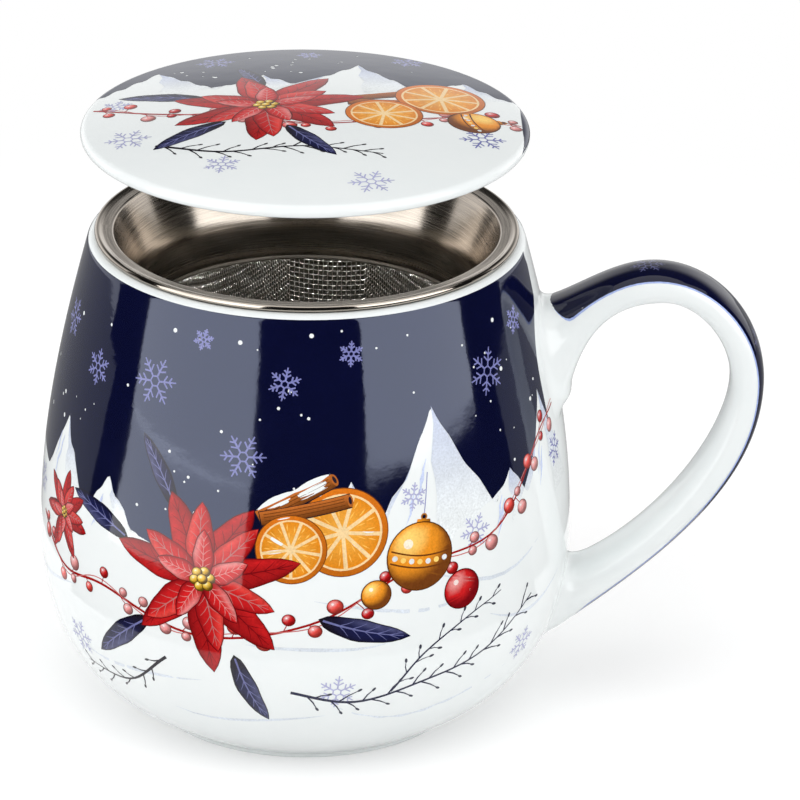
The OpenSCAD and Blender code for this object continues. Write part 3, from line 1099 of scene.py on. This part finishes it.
def bauble(art, place, r, dark, base, light, thread=0.0):
    """A hanging ball with a cap, a loop and a band."""
    if thread:
        line = [(0, r + 0.9), (0.05, r + thread / 2), (0, r + thread)]
        art.shape(place, ribbon(line, 0.16), "lines", plain(FLAKE_ON_NIGHT * 1.2))
    loop = (0, r + 1.05)
    art.shape(place, circle(0.62, 18) + loop, "fruit", plain(GOLD * 0.5))
    art.shape(place, circle(0.36, 14) + loop, "night", plain(NAVY))
    cap = [(-0.24 * r, r * 0.9), (0.24 * r, r * 0.9), (0.2 * r, r + 0.6), (-0.2 * r, r + 0.6)]
    art.shape(place, cap, "fruit", lambda p: mix(GOLD * 0.28, GOLD * 1.1, 0.5 - p[:, 0] / (0.4 * r)))
    ball(art, place, r, dark, base, light)
    x = np.linspace(-0.93, 0.93, 13)
    for shift in (-0.2, 0.16):
        belt = pairs(x * r * 0.98, r * (shift - 0.14 * np.cos(x * 1.6)))
        art.shape(place, ribbon(belt, 0.3), "fruit", plain(dark * 0.9))
    for k, u in enumerate(np.linspace(-0.78, 0.78, 7)):
        spot = circle(0.085 * r, 10) + (u * r, r * (-0.02 - 0.14 * math.cos(u * 1.6)))
        art.shape(place, spot, "fruit", plain(light if k % 2 else SNOW * 0.9))


def orange_slice(art, place, r):
    """A dried slice with nine segments."""
    rind, pith, flesh = GOLD * (0.85, 0.62, 0.6), np.array((0.86, 0.62, 0.32)), np.array((0.84, 0.33, 0.02))
    art.shape(place, circle(r + 0.16, 44), "fruit", plain(BROWN))
    art.shape(place, circle(r, 44), "fruit",
              lambda p: mix(rind, rind * 0.7, 0.5 - 0.5 * p[:, 1] / r), disc_points(r))
    art.shape(place, circle(0.88 * r, 40), "fruit", plain(pith))
    count, pulp_r = 9, 0.83 * r

    def flesh_shade(p):
        return mix(flesh * (1, 1.25, 3), flesh * (0.85, 0.72, 0.6), np.hypot(p[:, 0], p[:, 1]) / pulp_r)

    for k in range(count):
        spot = place[:2] + (place[2] + 360 * k / count,)
        half = math.pi / count * 0.84
        a = np.linspace(-half, half, 7)
        wedge = np.vstack([[(0.12 * r, 0.0)], pairs(pulp_r * np.cos(a), pulp_r * np.sin(a))])
        art.shape(spot, wedge, "fruit", flesh_shade,
                  [(0.45 * r, 0), (0.65 * r, 0.08 * r), (0.65 * r, -0.08 * r)])
        for u, v in ((0.42, 0.05), (0.6, -0.09), (0.66, 0.1)):
            drop = [(u * r - 0.09 * r, v * r), (u * r, v * r * 1.1), (u * r + 0.1 * r, v * r * 1.2)]
            art.shape(spot, ribbon(drop, (0.05, 0.24, 0.06)), "fruit", plain(flesh * (1.1, 1.5, 5)))


def stick(art, place, length, width):
    """A rolled stick of bark."""
    half = length / 2
    art.shape(place, ribbon([(-half - 0.15, 0), (half + 0.15, 0)], width + 0.3), "fruit", plain(DARK))
    art.shape(place, ribbon([(-half, 0), (0, 0.05), (half, 0)], width), "fruit",
              lambda p: mix(BROWN * 0.8, BROWN * 3.2, 0.5 + p[:, 1] / width),
              [(0, 0), (length / 4, 0.1), (-length / 4, 0.1)])
    for v in (-0.22, 0.05, 0.27):
        seam = [(-length * 0.46, v * width), (0, v * width + 0.08), (length * 0.44, v * width)]
        art.shape(place, ribbon(seam, 0.13), "fruit", plain(BROWN * 0.7))
    art.shape(place, circle(width * 0.5, 18, 0.95) * (0.45, 1) + (half, 0), "fruit", plain(BROWN * 2.6))
    art.shape(place, circle(width * 0.3, 14) * (0.4, 1) + (half, 0.05), "fruit", plain(DARK * 1.5))


def garland(art, path, seed, stem, tones, berry_r, gap):
    """A thin wavy stem with berries on short stalks. path is in places, as (across, along)."""
    rng = np.random.default_rng(seed)
    line = bend(art.surface.flat_path(path), 10)
    art.line(ribbon(line, np.linspace(0.55, 0.3, len(line))), "lines", stem)
    thin = line + pairs(np.zeros(len(line)), 0.9 * np.sin(np.arange(len(line)) * 0.42))
    art.line(ribbon(thin, 0.2), "lines", stem * 0.5 + PINK * 0.5)
    length = path_length(line)
    for k, at in enumerate(np.arange(gap / 2, length[-1], gap)):
        x, y = np.interp(at, length, line[:, 0]), np.interp(at, length, line[:, 1])
        side = 1 if k % 2 else -1
        angle = side * rng.uniform(45, 80)
        reach = rng.uniform(1.6, 3.0)
        tip = turned([(reach, 0)], angle)[0] + (x, y)
        art.line(ribbon([(x, y), (np.array((x, y)) + tip) / 2 + (0.1, 0.05), tip], 0.17), "lines", stem)
        tone = tones[rng.integers(len(tones))]
        art.berry(tip, berry_r * rng.uniform(0.75, 1.2), tone * 0.3, tone, tone * 0.5 + 0.4)
        if k % 3 == 0:
            root = turned([(1.2, 0)], -angle)[0] + (x, y)
            art.berry(root, berry_r * 0.7, tone * 0.3, tone, tone * 0.5 + 0.4)


def twig(art, path, seed, colour, width=0.5, needle=2.6):
    """A slim bare twig with short side shoots and pointed buds."""
    rng = np.random.default_rng(seed)
    line = bend(art.surface.flat_path(path), 8)
    art.line(ribbon(line, np.linspace(width, width * 0.35, len(line))), "lines", colour)
    length = path_length(line)
    for k, at in enumerate(np.arange(1.5, length[-1] - 0.5, 2.1)):
        i = min(len(line) - 2, int(np.searchsorted(length, at)))
        point = line[i]
        heading = math.degrees(math.atan2(*(line[i + 1] - line[i])[::-1]))
        angle = heading + (1 if k % 2 else -1) * rng.uniform(28, 46)
        reach = needle * rng.uniform(0.7, 1.25)
        tip = turned([(reach, 0)], angle)[0] + point
        knee = (point + tip) / 2 + turned([(0.18, 0)], angle + 90)[0]
        art.line(ribbon([point, knee, tip], (width * 0.5, width * 0.42, width * 0.2)), "lines", colour)
        bud = turned(circle(0.5, 10, 0.5), angle) + tip
        art.line(bud, "lines", colour * 0.7 + 0.04)


# ---- The mug's print: a winter night over snowy peaks

# Each peak is (bearing, height of its top, half width in degrees)
PEAKS = (
    (-66, 63.0, 13), (-47, 57.0, 10), (11, 62.0, 15), (31, 73.5, 20), (52, 58.0, 12), (68, 68.0, 13),
    (-98, 58.0, 14), (-116, 70.0, 19), (-138, 60.0, 14), (-160, 66.5, 17), (-184, 57.0, 13), (-205, 71.0, 19),
    (-226, 60.0, 13), (-246, 66.0, 14),
)
# The print's bearings, the height of the plain below the peaks, and that of the peaks' feet
FIELD_LOW, FIELD_HIGH = -259.0, 79.0
SNOW_Z, VALLEY_Z = 49.0, 47.0
# Distance between the points of the mug's and the lid's grids
GRID_STEP = 1.5


def horizon(bearing):
    """Height of the snow line at bearings from the front."""
    rng = np.random.default_rng(5)
    z = SNOW_Z + 2.2 * np.sin(np.radians(bearing * 3.1)) + 1.3 * np.sin(np.radians(bearing * 7.3 + 40))
    for at, top, half in PEAKS:
        jag = np.interp(bearing, at + np.linspace(-1.3 * half, 1.3 * half, 15), rng.uniform(-1.0, 1.0, 15))
        distance = np.abs(bearing - at) / half
        z = np.maximum(z, top - (top - VALLEY_Z) * distance ** 0.86 + jag * np.minimum(1, 4 * distance))
    return z


mug_side = MugSide()
mug_art = Art(mug_side, "mug_print", "mug")

bearings = np.arange(FIELD_LOW, FIELD_HIGH + 0.1, 0.75)
sky_low = pairs(np.radians(bearings) * mug_side.ref, mug_side.s_at(horizon(bearings)))
# The night runs this far on to the lip's round
sky_top = mug_side.s_at(lip_outer[1]) + 0.62
# The print keeps clear of the handle's upper joint, by (height, distance from the handle's plane)
edge = bend([(82, 7.5), (77, 12.0), (71, 14.4), (62, 14.6), (53, 13.4)], 6)
edge_s = mug_side.s_at(edge[:, 0])
edge_x = math.radians(90) * mug_side.ref - edge[:, 1] / mug_side.radius(edge_s) * mug_side.ref
right_side = pairs(edge_x, edge_s)[::-1]
left_side = pairs(-2 * math.pi * mug_side.ref + (math.pi * mug_side.ref - edge_x), edge_s)
corner_s = mug_side.s_at(87)
corner_gap = 9
right_top = math.radians(90 - corner_gap) * mug_side.ref
left_top = math.radians(-270 + corner_gap) * mug_side.ref
inside = (sky_low[:, 0] < right_side[0, 0] - 0.4) & (sky_low[:, 0] > left_side[-1, 0] + 0.4)
sky = np.vstack([sky_low[inside], right_side, [(right_top, corner_s), (right_top, sky_top)]])
across = np.linspace(right_top, left_top, 150)[1:-1]
sky = np.vstack([sky, pairs(across, np.full(len(across), sky_top)),
                 [(left_top, sky_top), (left_top, corner_s)], left_side])


def sky_shade(p):
    return mix(NAVY * (1.0, 1.0, 1.06), NAVY * (1.25, 1.25, 1.0), smooth(75, 52, p[:, 1]))


mug_art.flat_shape(sky, "night", sky_shade)

# Blue shade on one side of each peak, which fades down into the bare snow
for number, (at, top, half) in enumerate(PEAKS):
    rng = np.random.default_rng(40 + number)
    ridge_z = np.linspace(top - 0.2, VALLEY_Z + 0.5, 9)
    ridge_a = at + np.cumsum(np.concatenate([[0], rng.uniform(-0.9, 1.0, 8)])) * 0.9
    slope_a = np.linspace(at + 0.15, at + half * 0.93, 12)
    slope_z = horizon(slope_a) - 0.15
    outline = np.vstack([pairs(ridge_a, ridge_z), pairs(slope_a, slope_z)[::-1]])
    flat = pairs(np.radians(outline[:, 0]) * mug_side.ref, mug_side.s_at(outline[:, 1]))
    top_s, low_s = mug_side.s_at(top), mug_side.s_at(SNOW_Z)
    mug_art.flat_shape(
        flat, "lines", lambda p, a=top_s, b=low_s: mix(ICE, SNOW, 0.12 + 0.88 * smooth(a, b, p[:, 1]) ** 0.8))
    for k in range(3):
        start = np.array((
            at - half * rng.uniform(0.05, 0.3), top - (top - VALLEY_Z) * rng.uniform(0.25, 0.6)))
        stroke = [start, start + (-0.9, -1.8), start + (-1.1, -3.6), start + (-2.2, -5.4)]
        mug_art.line(ribbon(mug_side.flat_path(stroke), (0.1, 0.42, 0.34, 0.05)), "lines", ICE * 1.25)

# Drifts on the snow below
for k, (at, z, length) in enumerate((
        (-72, 30, 12), (-40, 20, 15), (4, 30, 13), (22, 37, 16), (44, 40, 14), (58, 30, 12), (30, 15, 18),
        (-12, 14, 14), (-100, 34, 14), (-128, 26, 16), (-165, 33, 13), (-196, 24, 16), (-222, 36, 14),
        (-245, 28, 12), (-150, 15, 17))):
    x = np.linspace(-length, length, 9)
    stroke = pairs(x, 1.1 * np.sin(x * 0.16 + k) + 0.012 * x * x)
    widths = 0.7 * np.sin(np.linspace(0.05, math.pi - 0.05, 9)) + 0.04
    shadow = plain(SNOW * (0.86, 0.885, 0.95))
    mug_art.shape((at, z, 2 * math.sin(k)), ribbon(stroke, widths), "lines", shadow)

# Snow in the air is bare porcelain
rng = np.random.default_rng(21)
for k in range(150):
    bearing, z = rng.uniform(-250, 70), rng.uniform(52, 88)
    if z > horizon(np.array([bearing]))[0] + 2.5:
        mug_art.shape((bearing, z, 0), circle(rng.choice((0.16, 0.22, 0.3, 0.42)), 10), None, None)

snowflakes(mug_art, FLAKE_ON_NIGHT, 0.34, (
    (-37, 76, 8, 4.5), (-4, 79, 20, 3.0), (-13, 66, 3, 4.2), (49, 76, 12, 4.3), (12, 84, 25, 2.3),
    (-57, 74, 30, 3.4), (-76, 78, 14, 3.8), (63, 82, 5, 2.6), (-25, 85, 17, 2.0), (73, 55, 3, 3.2),
    (-92, 82, 9, 3.2), (-103, 72, 26, 4.2), (-133, 79, 4, 4.6), (-150, 72, 18, 3.0), (-172, 81, 12, 4.0),
    (-187, 70, 0, 4.4), (-216, 83, 22, 3.0), (-232, 76, 6, 4.4), (-250, 82, 16, 3.0)))
snowflakes(mug_art, FLAKE_ON_SNOW, 0.3, (
    (-58, 22, 10, 3.8), (8, 22, 24, 3.6), (40, 49, 4, 3.4), (57, 22, 15, 3.5), (-80, 46, 8, 3.2),
    (25, 58, 20, 2.6), (-112, 48, 6, 3.4), (-140, 22, 18, 3.8), (-182, 44, 9, 3.2), (-214, 22, 3, 3.6),
    (-240, 50, 21, 3.3)))


def bouquet(shift, seed):
    """The flowers, fruit, twigs and berries, which are printed once at the front and once at the back."""
    twig(mug_art, [(shift - 2, 22), (shift + 12, 19.5), (shift + 27, 22), (shift + 43, 25), (shift + 58, 32)],
         seed, NAVY * 1.8, 0.62, 3.6)
    twig(mug_art, [(shift + 20, 21), (shift + 27, 28), (shift + 37, 33), (shift + 47, 36)],
         seed + 1, NAVY * 1.8, 0.42, 2.6)
    twig(mug_art, [(shift - 30, 26), (shift - 42, 18), (shift - 58, 17)], seed + 2, DARK, 0.6, 3.0)
    garland(mug_art, [(shift - 76, 41), (shift - 62, 35), (shift - 46, 36), (shift - 22, 32), (shift + 2, 36),
                      (shift + 24, 45), (shift + 46, 48), (shift + 64, 60), (shift + 76, 63)],
            seed + 3, RED * 0.55, (RED, PINK, BRIGHT_RED), 1.15, 4.4)
    bauble(mug_art, (shift + 26, 47, -8), 6.2, *GILT, thread=9)
    orange_slice(mug_art, (shift + 9, 53, 14), 8.0)
    stick(mug_art, (shift - 1, 59, 28), 15, 2.4)
    stick(mug_art, (shift + 1, 57, 12), 16, 2.4)
    orange_slice(mug_art, (shift - 2, 50, 50), 6.2)
    for at, z, turn, length in (
            (-34, 33, 215, 17), (-14, 29, 285, 15), (4, 37, 338, 17), (-40, 47, 160, 16), (-28, 55, 118, 14)):
        leaf(mug_art, (shift + at, z, turn), length, length * 0.36, 0.1, *NIGHT_LEAF)
    poinsettia(mug_art, (shift - 21, 43, 12), 17.5, seed + 4)
    poinsettia(mug_art, (shift - 63, 45, 40), 8.5, seed + 5)
    ball(mug_art, (shift + 36, 39, 0), 3.6, DEEP_RED, RED, PINK)
    ball(mug_art, (shift + 16, 41, 0), 2.6, *GILT)


bouquet(0, 100)
bouquet(-177, 200)
# Fine rows where the print bends over the lip
rows = np.arange(mug_side.s_at(lip_outer[1]) - 1.2, sky_top, 0.15)
columns = np.arange(math.radians(FIELD_LOW) * mug_side.ref, math.radians(FIELD_HIGH + 2) * mug_side.ref, 0.8)
mug_art.spots.append(np.stack(np.meshgrid(columns, rows, indexing="ij"), axis=-1).reshape(-1, 2))
mug_art.make((math.radians(FIELD_LOW + 1) * mug_side.ref, 14),
             (math.radians(FIELD_HIGH) * mug_side.ref, sky_top), GRID_STEP)


# ---- The lid's print

lid_top = LidTop()
lid_art = Art(lid_top, "lid_print", "lid")
lid_reach = lid_top.s[-1] - 0.9
# Each peak is (x of its top, y of its top, half width)
LID_PEAKS = ((-27, 24, 13), (-8, 19, 12), (9, 27, 14), (28, 20, 12))


def lid_line(x):
    """The snow line on the lid."""
    y = 11.0 + 1.4 * np.sin(x * 0.22)
    for at, top, half in LID_PEAKS:
        y = np.maximum(y, top - (top - 9) * (np.abs(x - at) / half) ** 0.86 + 0.5 * np.sin(x * 1.9 + at))
    return y


a = np.linspace(-16, 162, 110)
rim = pairs(lid_reach * np.cos(np.radians(a)), lid_reach * np.sin(np.radians(a)))
x = np.linspace(rim[-1, 0], rim[0, 0], 110)[1:-1]
lid_art.line(np.vstack([rim, pairs(x, lid_line(x))]), "night", NAVY)
for at, top, half in LID_PEAKS:
    ridge = pairs(at + np.array([0, 0.7, 0.2, 1.3, 0.6, 1.4]), np.linspace(top - 0.4, 9.5, 6))
    slope = np.linspace(at + 0.3, at + half * 0.92, 10)
    outline = np.vstack([ridge, pairs(slope, lid_line(slope) - 0.2)[::-1]])
    lid_art.flat_shape(
        outline, "lines", lambda p, a=top: mix(ICE, SNOW, 0.1 + 0.9 * smooth(a, 10.5, p[:, 1])))
rng = np.random.default_rng(8)
for k in range(34):
    at, y = rng.uniform(-30, 30), rng.uniform(16, 36)
    if y > lid_line(np.array([at]))[0] + 2 and math.hypot(at, y) < 37:
        lid_art.shape((at, y, 0), circle(rng.choice((0.2, 0.28, 0.4)), 10), None, None)
snowflakes(lid_art, FLAKE_ON_NIGHT, 0.34, (
    (-17, 29, 6, 3.6), (18, 31.5, 20, 3.2), (0, 34, 10, 2.4), (31.5, -9, 12, 4.3)))
snowflakes(lid_art, FLAKE_ON_SNOW, 0.3, (
    (-31, -11, 4, 4.2), (12, -30, 14, 4.2), (-14, -24, 22, 3.4), (-34, 6, 15, 3.0)))
twig(lid_art, [(-26, -15), (-14, -19), (0, -17), (14, -19)], 61, DARK, 0.7, 3.4)
garland(lid_art, [(-38, 5), (-27, 0), (-14, -3), (2, -7), (18, -3), (30, 1), (38.5, 0)], 62, RED * 0.55,
        (RED, PINK, BRIGHT_RED), 1.15, 4.2)
stick(lid_art, (15, 9, 24), 19, 2.6)
stick(lid_art, (17, 5, 6), 19, 2.6)
orange_slice(lid_art, (24, 9, 20), 8.0)
orange_slice(lid_art, (14, -1, 44), 6.8)
bauble(lid_art, (30, -1.5, -70), 4.6, *GILT)
for at, y, turn, length in ((-14, -6, 215, 16), (-3, -8, 300, 15), (-18, 6, 160, 16), (-8, 12, 105, 13)):
    leaf(lid_art, (at, y, turn), length, length * 0.36, 0.1, *NIGHT_LEAF)
poinsettia(lid_art, (-7, 2, 10), 17.5, 63)
# Fine rings where the print bends over the edge
for ring in np.arange(lid_top.s[40] - 0.6, lid_reach, 0.16):
    lid_art.spots.append(circle(ring, 300))
lid_art.make((-lid_reach, -lid_reach), (lid_reach, lid_reach), GRID_STEP)


# ---- The handle's stripe

handle_back = HandleBack()
handle_art = Art(handle_back, "handle_print", "mug")
stripe_low, stripe_high, stripe_share, stripe_end = 2.2, handle_back.s[-1] - 5.0, 0.87, 4.4


def stripe(grow):
    """The stripe widens with the strap, and its ends are round."""
    turn = np.linspace(0, math.pi / 2, 9)
    ends = stripe_end * (1 - np.cos(turn))
    middle = np.linspace(stripe_low + stripe_end, stripe_high - stripe_end, 60)[1:-1]
    run = np.concatenate([stripe_low + ends, middle, (stripe_high - ends)[::-1]])
    full = np.concatenate([np.sin(turn), np.ones(len(middle)), np.sin(turn[::-1])])
    width = strap_width(np.interp(run, handle_back.s, handle_back.steps))
    half = full * (stripe_share * width / 2 + grow) + 0.01
    return np.vstack([pairs(run, -half), pairs(run, half)[::-1]])


handle_art.line(stripe(0.22), "lines", np.array((0.36, 0.45, 0.78)))
handle_art.line(stripe(0), "stripe", NAVY)
snowflakes(handle_art, FLAKE_ON_NIGHT * 0.45, 0.28, (
    (21, 0.6, 5, 3.2), (47, -1.0, 20, 3.0), (76, 0.8, 12, 3.2), (104, -0.4, 3, 3.0)))
handle_art.make((1.0, -8.0), (handle_back.s[-1] - 1.0, 8.0), 0.7)


# ---- Stage, lamps and camera

def seen_directly(tree):
    """1 for rays from the camera, from mirrors and through glass, and 0 for those that only light things."""
    path = add_node(tree, "ShaderNodeLightPath", {}).outputs
    mirrored = math_node(tree, "MAXIMUM", path["Is Camera Ray"], path["Is Glossy Ray"])
    return math_node(tree, "MAXIMUM", mirrored, path["Is Transmission Ray"])


def make_world(ambient):
    world = bpy.data.worlds.new("studio")
    world.use_nodes = True
    bpy.context.scene.world = world
    tree = world.node_tree
    strength = ramp_value(tree, seen_directly(tree), 0, 1, ambient, 1.0)
    set_inputs(tree, tree.nodes["Background"], {"Color": (1, 1, 1, 1), "Strength": strength})


make_world(0.68)


def plane(name, corners, material):
    mesh = bpy.data.meshes.new(name)
    mesh.from_pydata(corners, [], [tuple(range(len(corners)))])
    mesh.materials.append(material)
    item = add_object(name, mesh)
    return item


def make_floor():
    """White paper: it takes the object's shadow near the object, and fades into the white background."""
    material, tree, _ = principled("white_paper")
    tree.nodes.clear()
    seen = seen_directly(tree)
    far = ramp_value(tree, split_place(tree, world_place(tree))[3], 0.07, 0.3, 0.0, 1.0, "SMOOTHSTEP")
    paper = add_node(tree, "ShaderNodeBsdfDiffuse", {"Color": (0.88, 0.88, 0.88, 1), "Roughness": 0.9})
    lift, white = (
        add_node(tree, "ShaderNodeEmission", {"Color": (1, 1, 1, 1), "Strength": strength})
        for strength in (math_node(tree, "MULTIPLY", seen, 0.16), 1.0))
    near = add_node(tree, "ShaderNodeAddShader", {0: paper.outputs[0], 1: lift.outputs[0]})
    both = add_node(tree, "ShaderNodeMixShader", {
        0: math_node(tree, "MULTIPLY", far, seen), 1: near.outputs[0], 2: white.outputs[0]})
    add_node(tree, "ShaderNodeOutputMaterial", {"Surface": both.outputs[0]})
    return material


floor_half = 4.0
plane("floor", [(-floor_half, -floor_half, 0), (floor_half, -floor_half, 0),
                (floor_half, floor_half, 0), (-floor_half, floor_half, 0)], make_floor())


def polar(distance, bearing, z):
    """A place in metres. Bearings are in degrees from the camera's side, positive to the right."""
    a = math.radians(bearing)
    return Vector((distance * math.sin(a), -distance * math.cos(a), z))


def area_lamp(name, place, towards, width, height, radiance, mirrored=True):
    """A soft lamp. One that isn't mirrored lights things without being seen in them."""
    lamp = bpy.data.lights.new(name, "AREA")
    lamp.shape = "RECTANGLE"
    lamp.size = width
    lamp.size_y = height
    lamp.energy = radiance * math.pi * width * height
    item = add_object(name, lamp)
    item.location = place
    item.visible_glossy = mirrored
    item.rotation_euler = towards.to_track_quat("-Z", "Y").to_euler()
    return item


softbox_distance = 0.6
softbox_radiance = 1.4
mouth = Vector((0, 0, 0.08))


def softbox(name, bearing, width, low, high, mirrored=True):
    """An upright lamp that looks at the axis."""
    place = polar(softbox_distance, bearing, (low + high) / 2)
    area_lamp(name, place, -polar(1, bearing, 0), width, high - low, softbox_radiance, mirrored)


def aimed_lamp(name, bearing, elevation, distance, size, radiance, mirrored=True):
    """A square lamp that looks at the mug's mouth from a bearing and an elevation in degrees."""
    e = math.radians(elevation)
    away = polar(math.cos(e), bearing, math.sin(e))
    return area_lamp(name, mouth + distance * away, -away, size, size, radiance, mirrored)


softbox("softbox_left", -51.5, 0.693, 0.002, 0.55)
softbox("softbox_right", 54, 0.61, 0.02, 0.55)


def pieces_named(name, start):
    """A collection of the pieces whose names begin with start, for a lamp's links."""
    group = bpy.data.collections.new(name)
    for piece in bpy.context.scene.objects:
        if piece.name.startswith(start):
            group.objects.link(piece)
    return group


aimed_lamp("softbox_top", 0, 71, 0.76, 0.6, 0.95, False)

# Lamps for the wire cloth alone, which the lid would keep dark. The lid is held over the mug for the
# view alone, so it casts no shadow in them.
cloth = pieces_named("cloth", "basket_")
no_lid = pieces_named("no_lid", "lid_")
for entry in no_lid.collection_objects:
    entry.light_linking.link_state = "EXCLUDE"
for name, bearing, elevation, radiance in (
        ("cloth_front", 4, 27, 32.0), ("cloth_left", -85, 36, 24.0), ("cloth_right", 85, 36, 22.0)):
    lamp = aimed_lamp(name, bearing, elevation, 0.85, 0.22, radiance)
    lamp.light_linking.receiver_collection = cloth
    lamp.light_linking.blocker_collection = no_lid
    # What the cloth throws on would fill the dark gaps between its wires
    lamp.data.cycles.max_bounces = 0
    lamp.data.cycles.use_multiple_importance_sampling = False
softbox("strip_left", -119, 0.34, 0.02, 0.5, False)
softbox("strip_right", 125.5, 0.33, 0.02, 0.5, False)

# The mug's inside lies in the shade of the lid and the infuser, and takes no light from the other lamps.
# The cloth has lamps of its own.
shaded = pieces_named("shaded", ("mug_inside", "basket_"))
for entry in shaded.collection_objects:
    entry.light_linking.link_state = "EXCLUDE"
for item in bpy.context.scene.objects:
    if item.type == "LIGHT" and not item.name.startswith("cloth_"):
        item.light_linking.receiver_collection = shaded


def make_felt(name, glow):
    """Felt that stays dark in every light but its own faint glow, for the studio's dark and dim sides."""
    return principled(name, **{
        "Base Color": (0.01, 0.01, 0.01, 1), "Roughness": 0.9, "Specular IOR Level": 0.0,
        "Emission Color": (1, 1, 1, 1), "Emission Strength": glow})


black, grey, lit = (
    make_felt(name, glow)[0] for name, glow in (("black_felt", 0.0), ("grey_felt", 0.3), ("lit_felt", 2.3)))


def make_fading_felt():
    """Felt behind the set, white at the table's height and dark above, as a lit backdrop falls off."""
    material, tree, shader = make_felt("fading_felt", 0.0)
    height = split_place(tree, world_place(tree))[2]
    glow = ramp_value(tree, height, 0.2, 0.62, 1.0, 0.03, "SMOOTHSTEP")
    set_inputs(tree, shader, {"Emission Strength": glow})
    return material


fading = make_fading_felt()


def flag(name, corners, material):
    """A screen that only reflections see, as on the camera's side of a studio."""
    item = plane(name, corners, material)
    for rays in ("camera", "diffuse", "shadow", "transmission"):
        setattr(item, f"visible_{rays}", False)


def upright_flag(name, start, stop, distance, low, high, material=black):
    corners = ((start, low), (stop, low), (stop, high), (start, high))
    flag(name, [polar(distance, bearing, z) for bearing, z in corners], material)


upright_flag("flag_middle", -21, 27, 0.72, 0.0, 0.9)
upright_flag("flag_left", -104, -81, 0.72, 0.0, 0.7)
upright_flag("flag_right", 81, 112, 0.72, 0.0, 0.7)
for number, start in enumerate(range(110, 260, 15)):
    upright_flag(f"flag_back_{number}", start, start + 15, 0.9, 0.2, 1.6, fading)


def ground_flag(name, inner, outer, start, stop, material):
    """Felt on the table, on a part of a ring."""
    turn = np.linspace(start, stop, 9)
    rim = [(inner, a) for a in turn] + [(outer, a) for a in turn[::-1]]
    flag(name, [polar(r, a, 0.001) for r, a in rim], material)


ground_flag("flag_ground_front", 0.085, 0.72, -22, 95, black)
ground_flag("flag_ground_near", 0.085, 0.17, -95, -22, black)
# The table before the left softbox is as bright as the softbox
ground_flag("flag_ground_lit", 0.17, 0.72, -80, -22, lit)
ground_flag("flag_ground_side", 0.17, 0.72, -95, -80, black)
ground_flag("flag_ground_left", 0.1, 0.8, -180, -95, grey)
ground_flag("flag_ground_right", 0.1, 0.8, 95, 180, grey)

# Camera: the photograph is 800 pixels wide
photo_width = 800
focal_px = 5493.0
sensor = 36.0
view_elevation = math.radians(23.531)
view_roll = math.radians(0.699)
view_distance = 1.0
aim = Vector((0, 0, 0.0473))
aim_right = 0.01712
aim_up = 0.00968

forward = Vector((0, math.cos(view_elevation), -math.sin(view_elevation)))
level_right = Vector((1, 0, 0))
level_up = level_right.cross(forward)
cam_right = math.cos(view_roll) * level_right + math.sin(view_roll) * level_up
cam_up = -math.sin(view_roll) * level_right + math.cos(view_roll) * level_up
camera_data = bpy.data.cameras.new("camera")
camera_data.sensor_width = sensor
camera_data.lens = focal_px * sensor / photo_width
camera_data.clip_start = 0.05
camera_data.clip_end = 20
camera = add_object("camera", camera_data)
place = aim - view_distance * forward + aim_right * cam_right + aim_up * cam_up
turn = Matrix((cam_right, cam_up, -forward)).transposed()
camera.matrix_world = Matrix.Translation(place) @ turn.to_4x4()
bpy.context.scene.camera = camera

bpy.context.scene.view_settings.view_transform = "Standard"
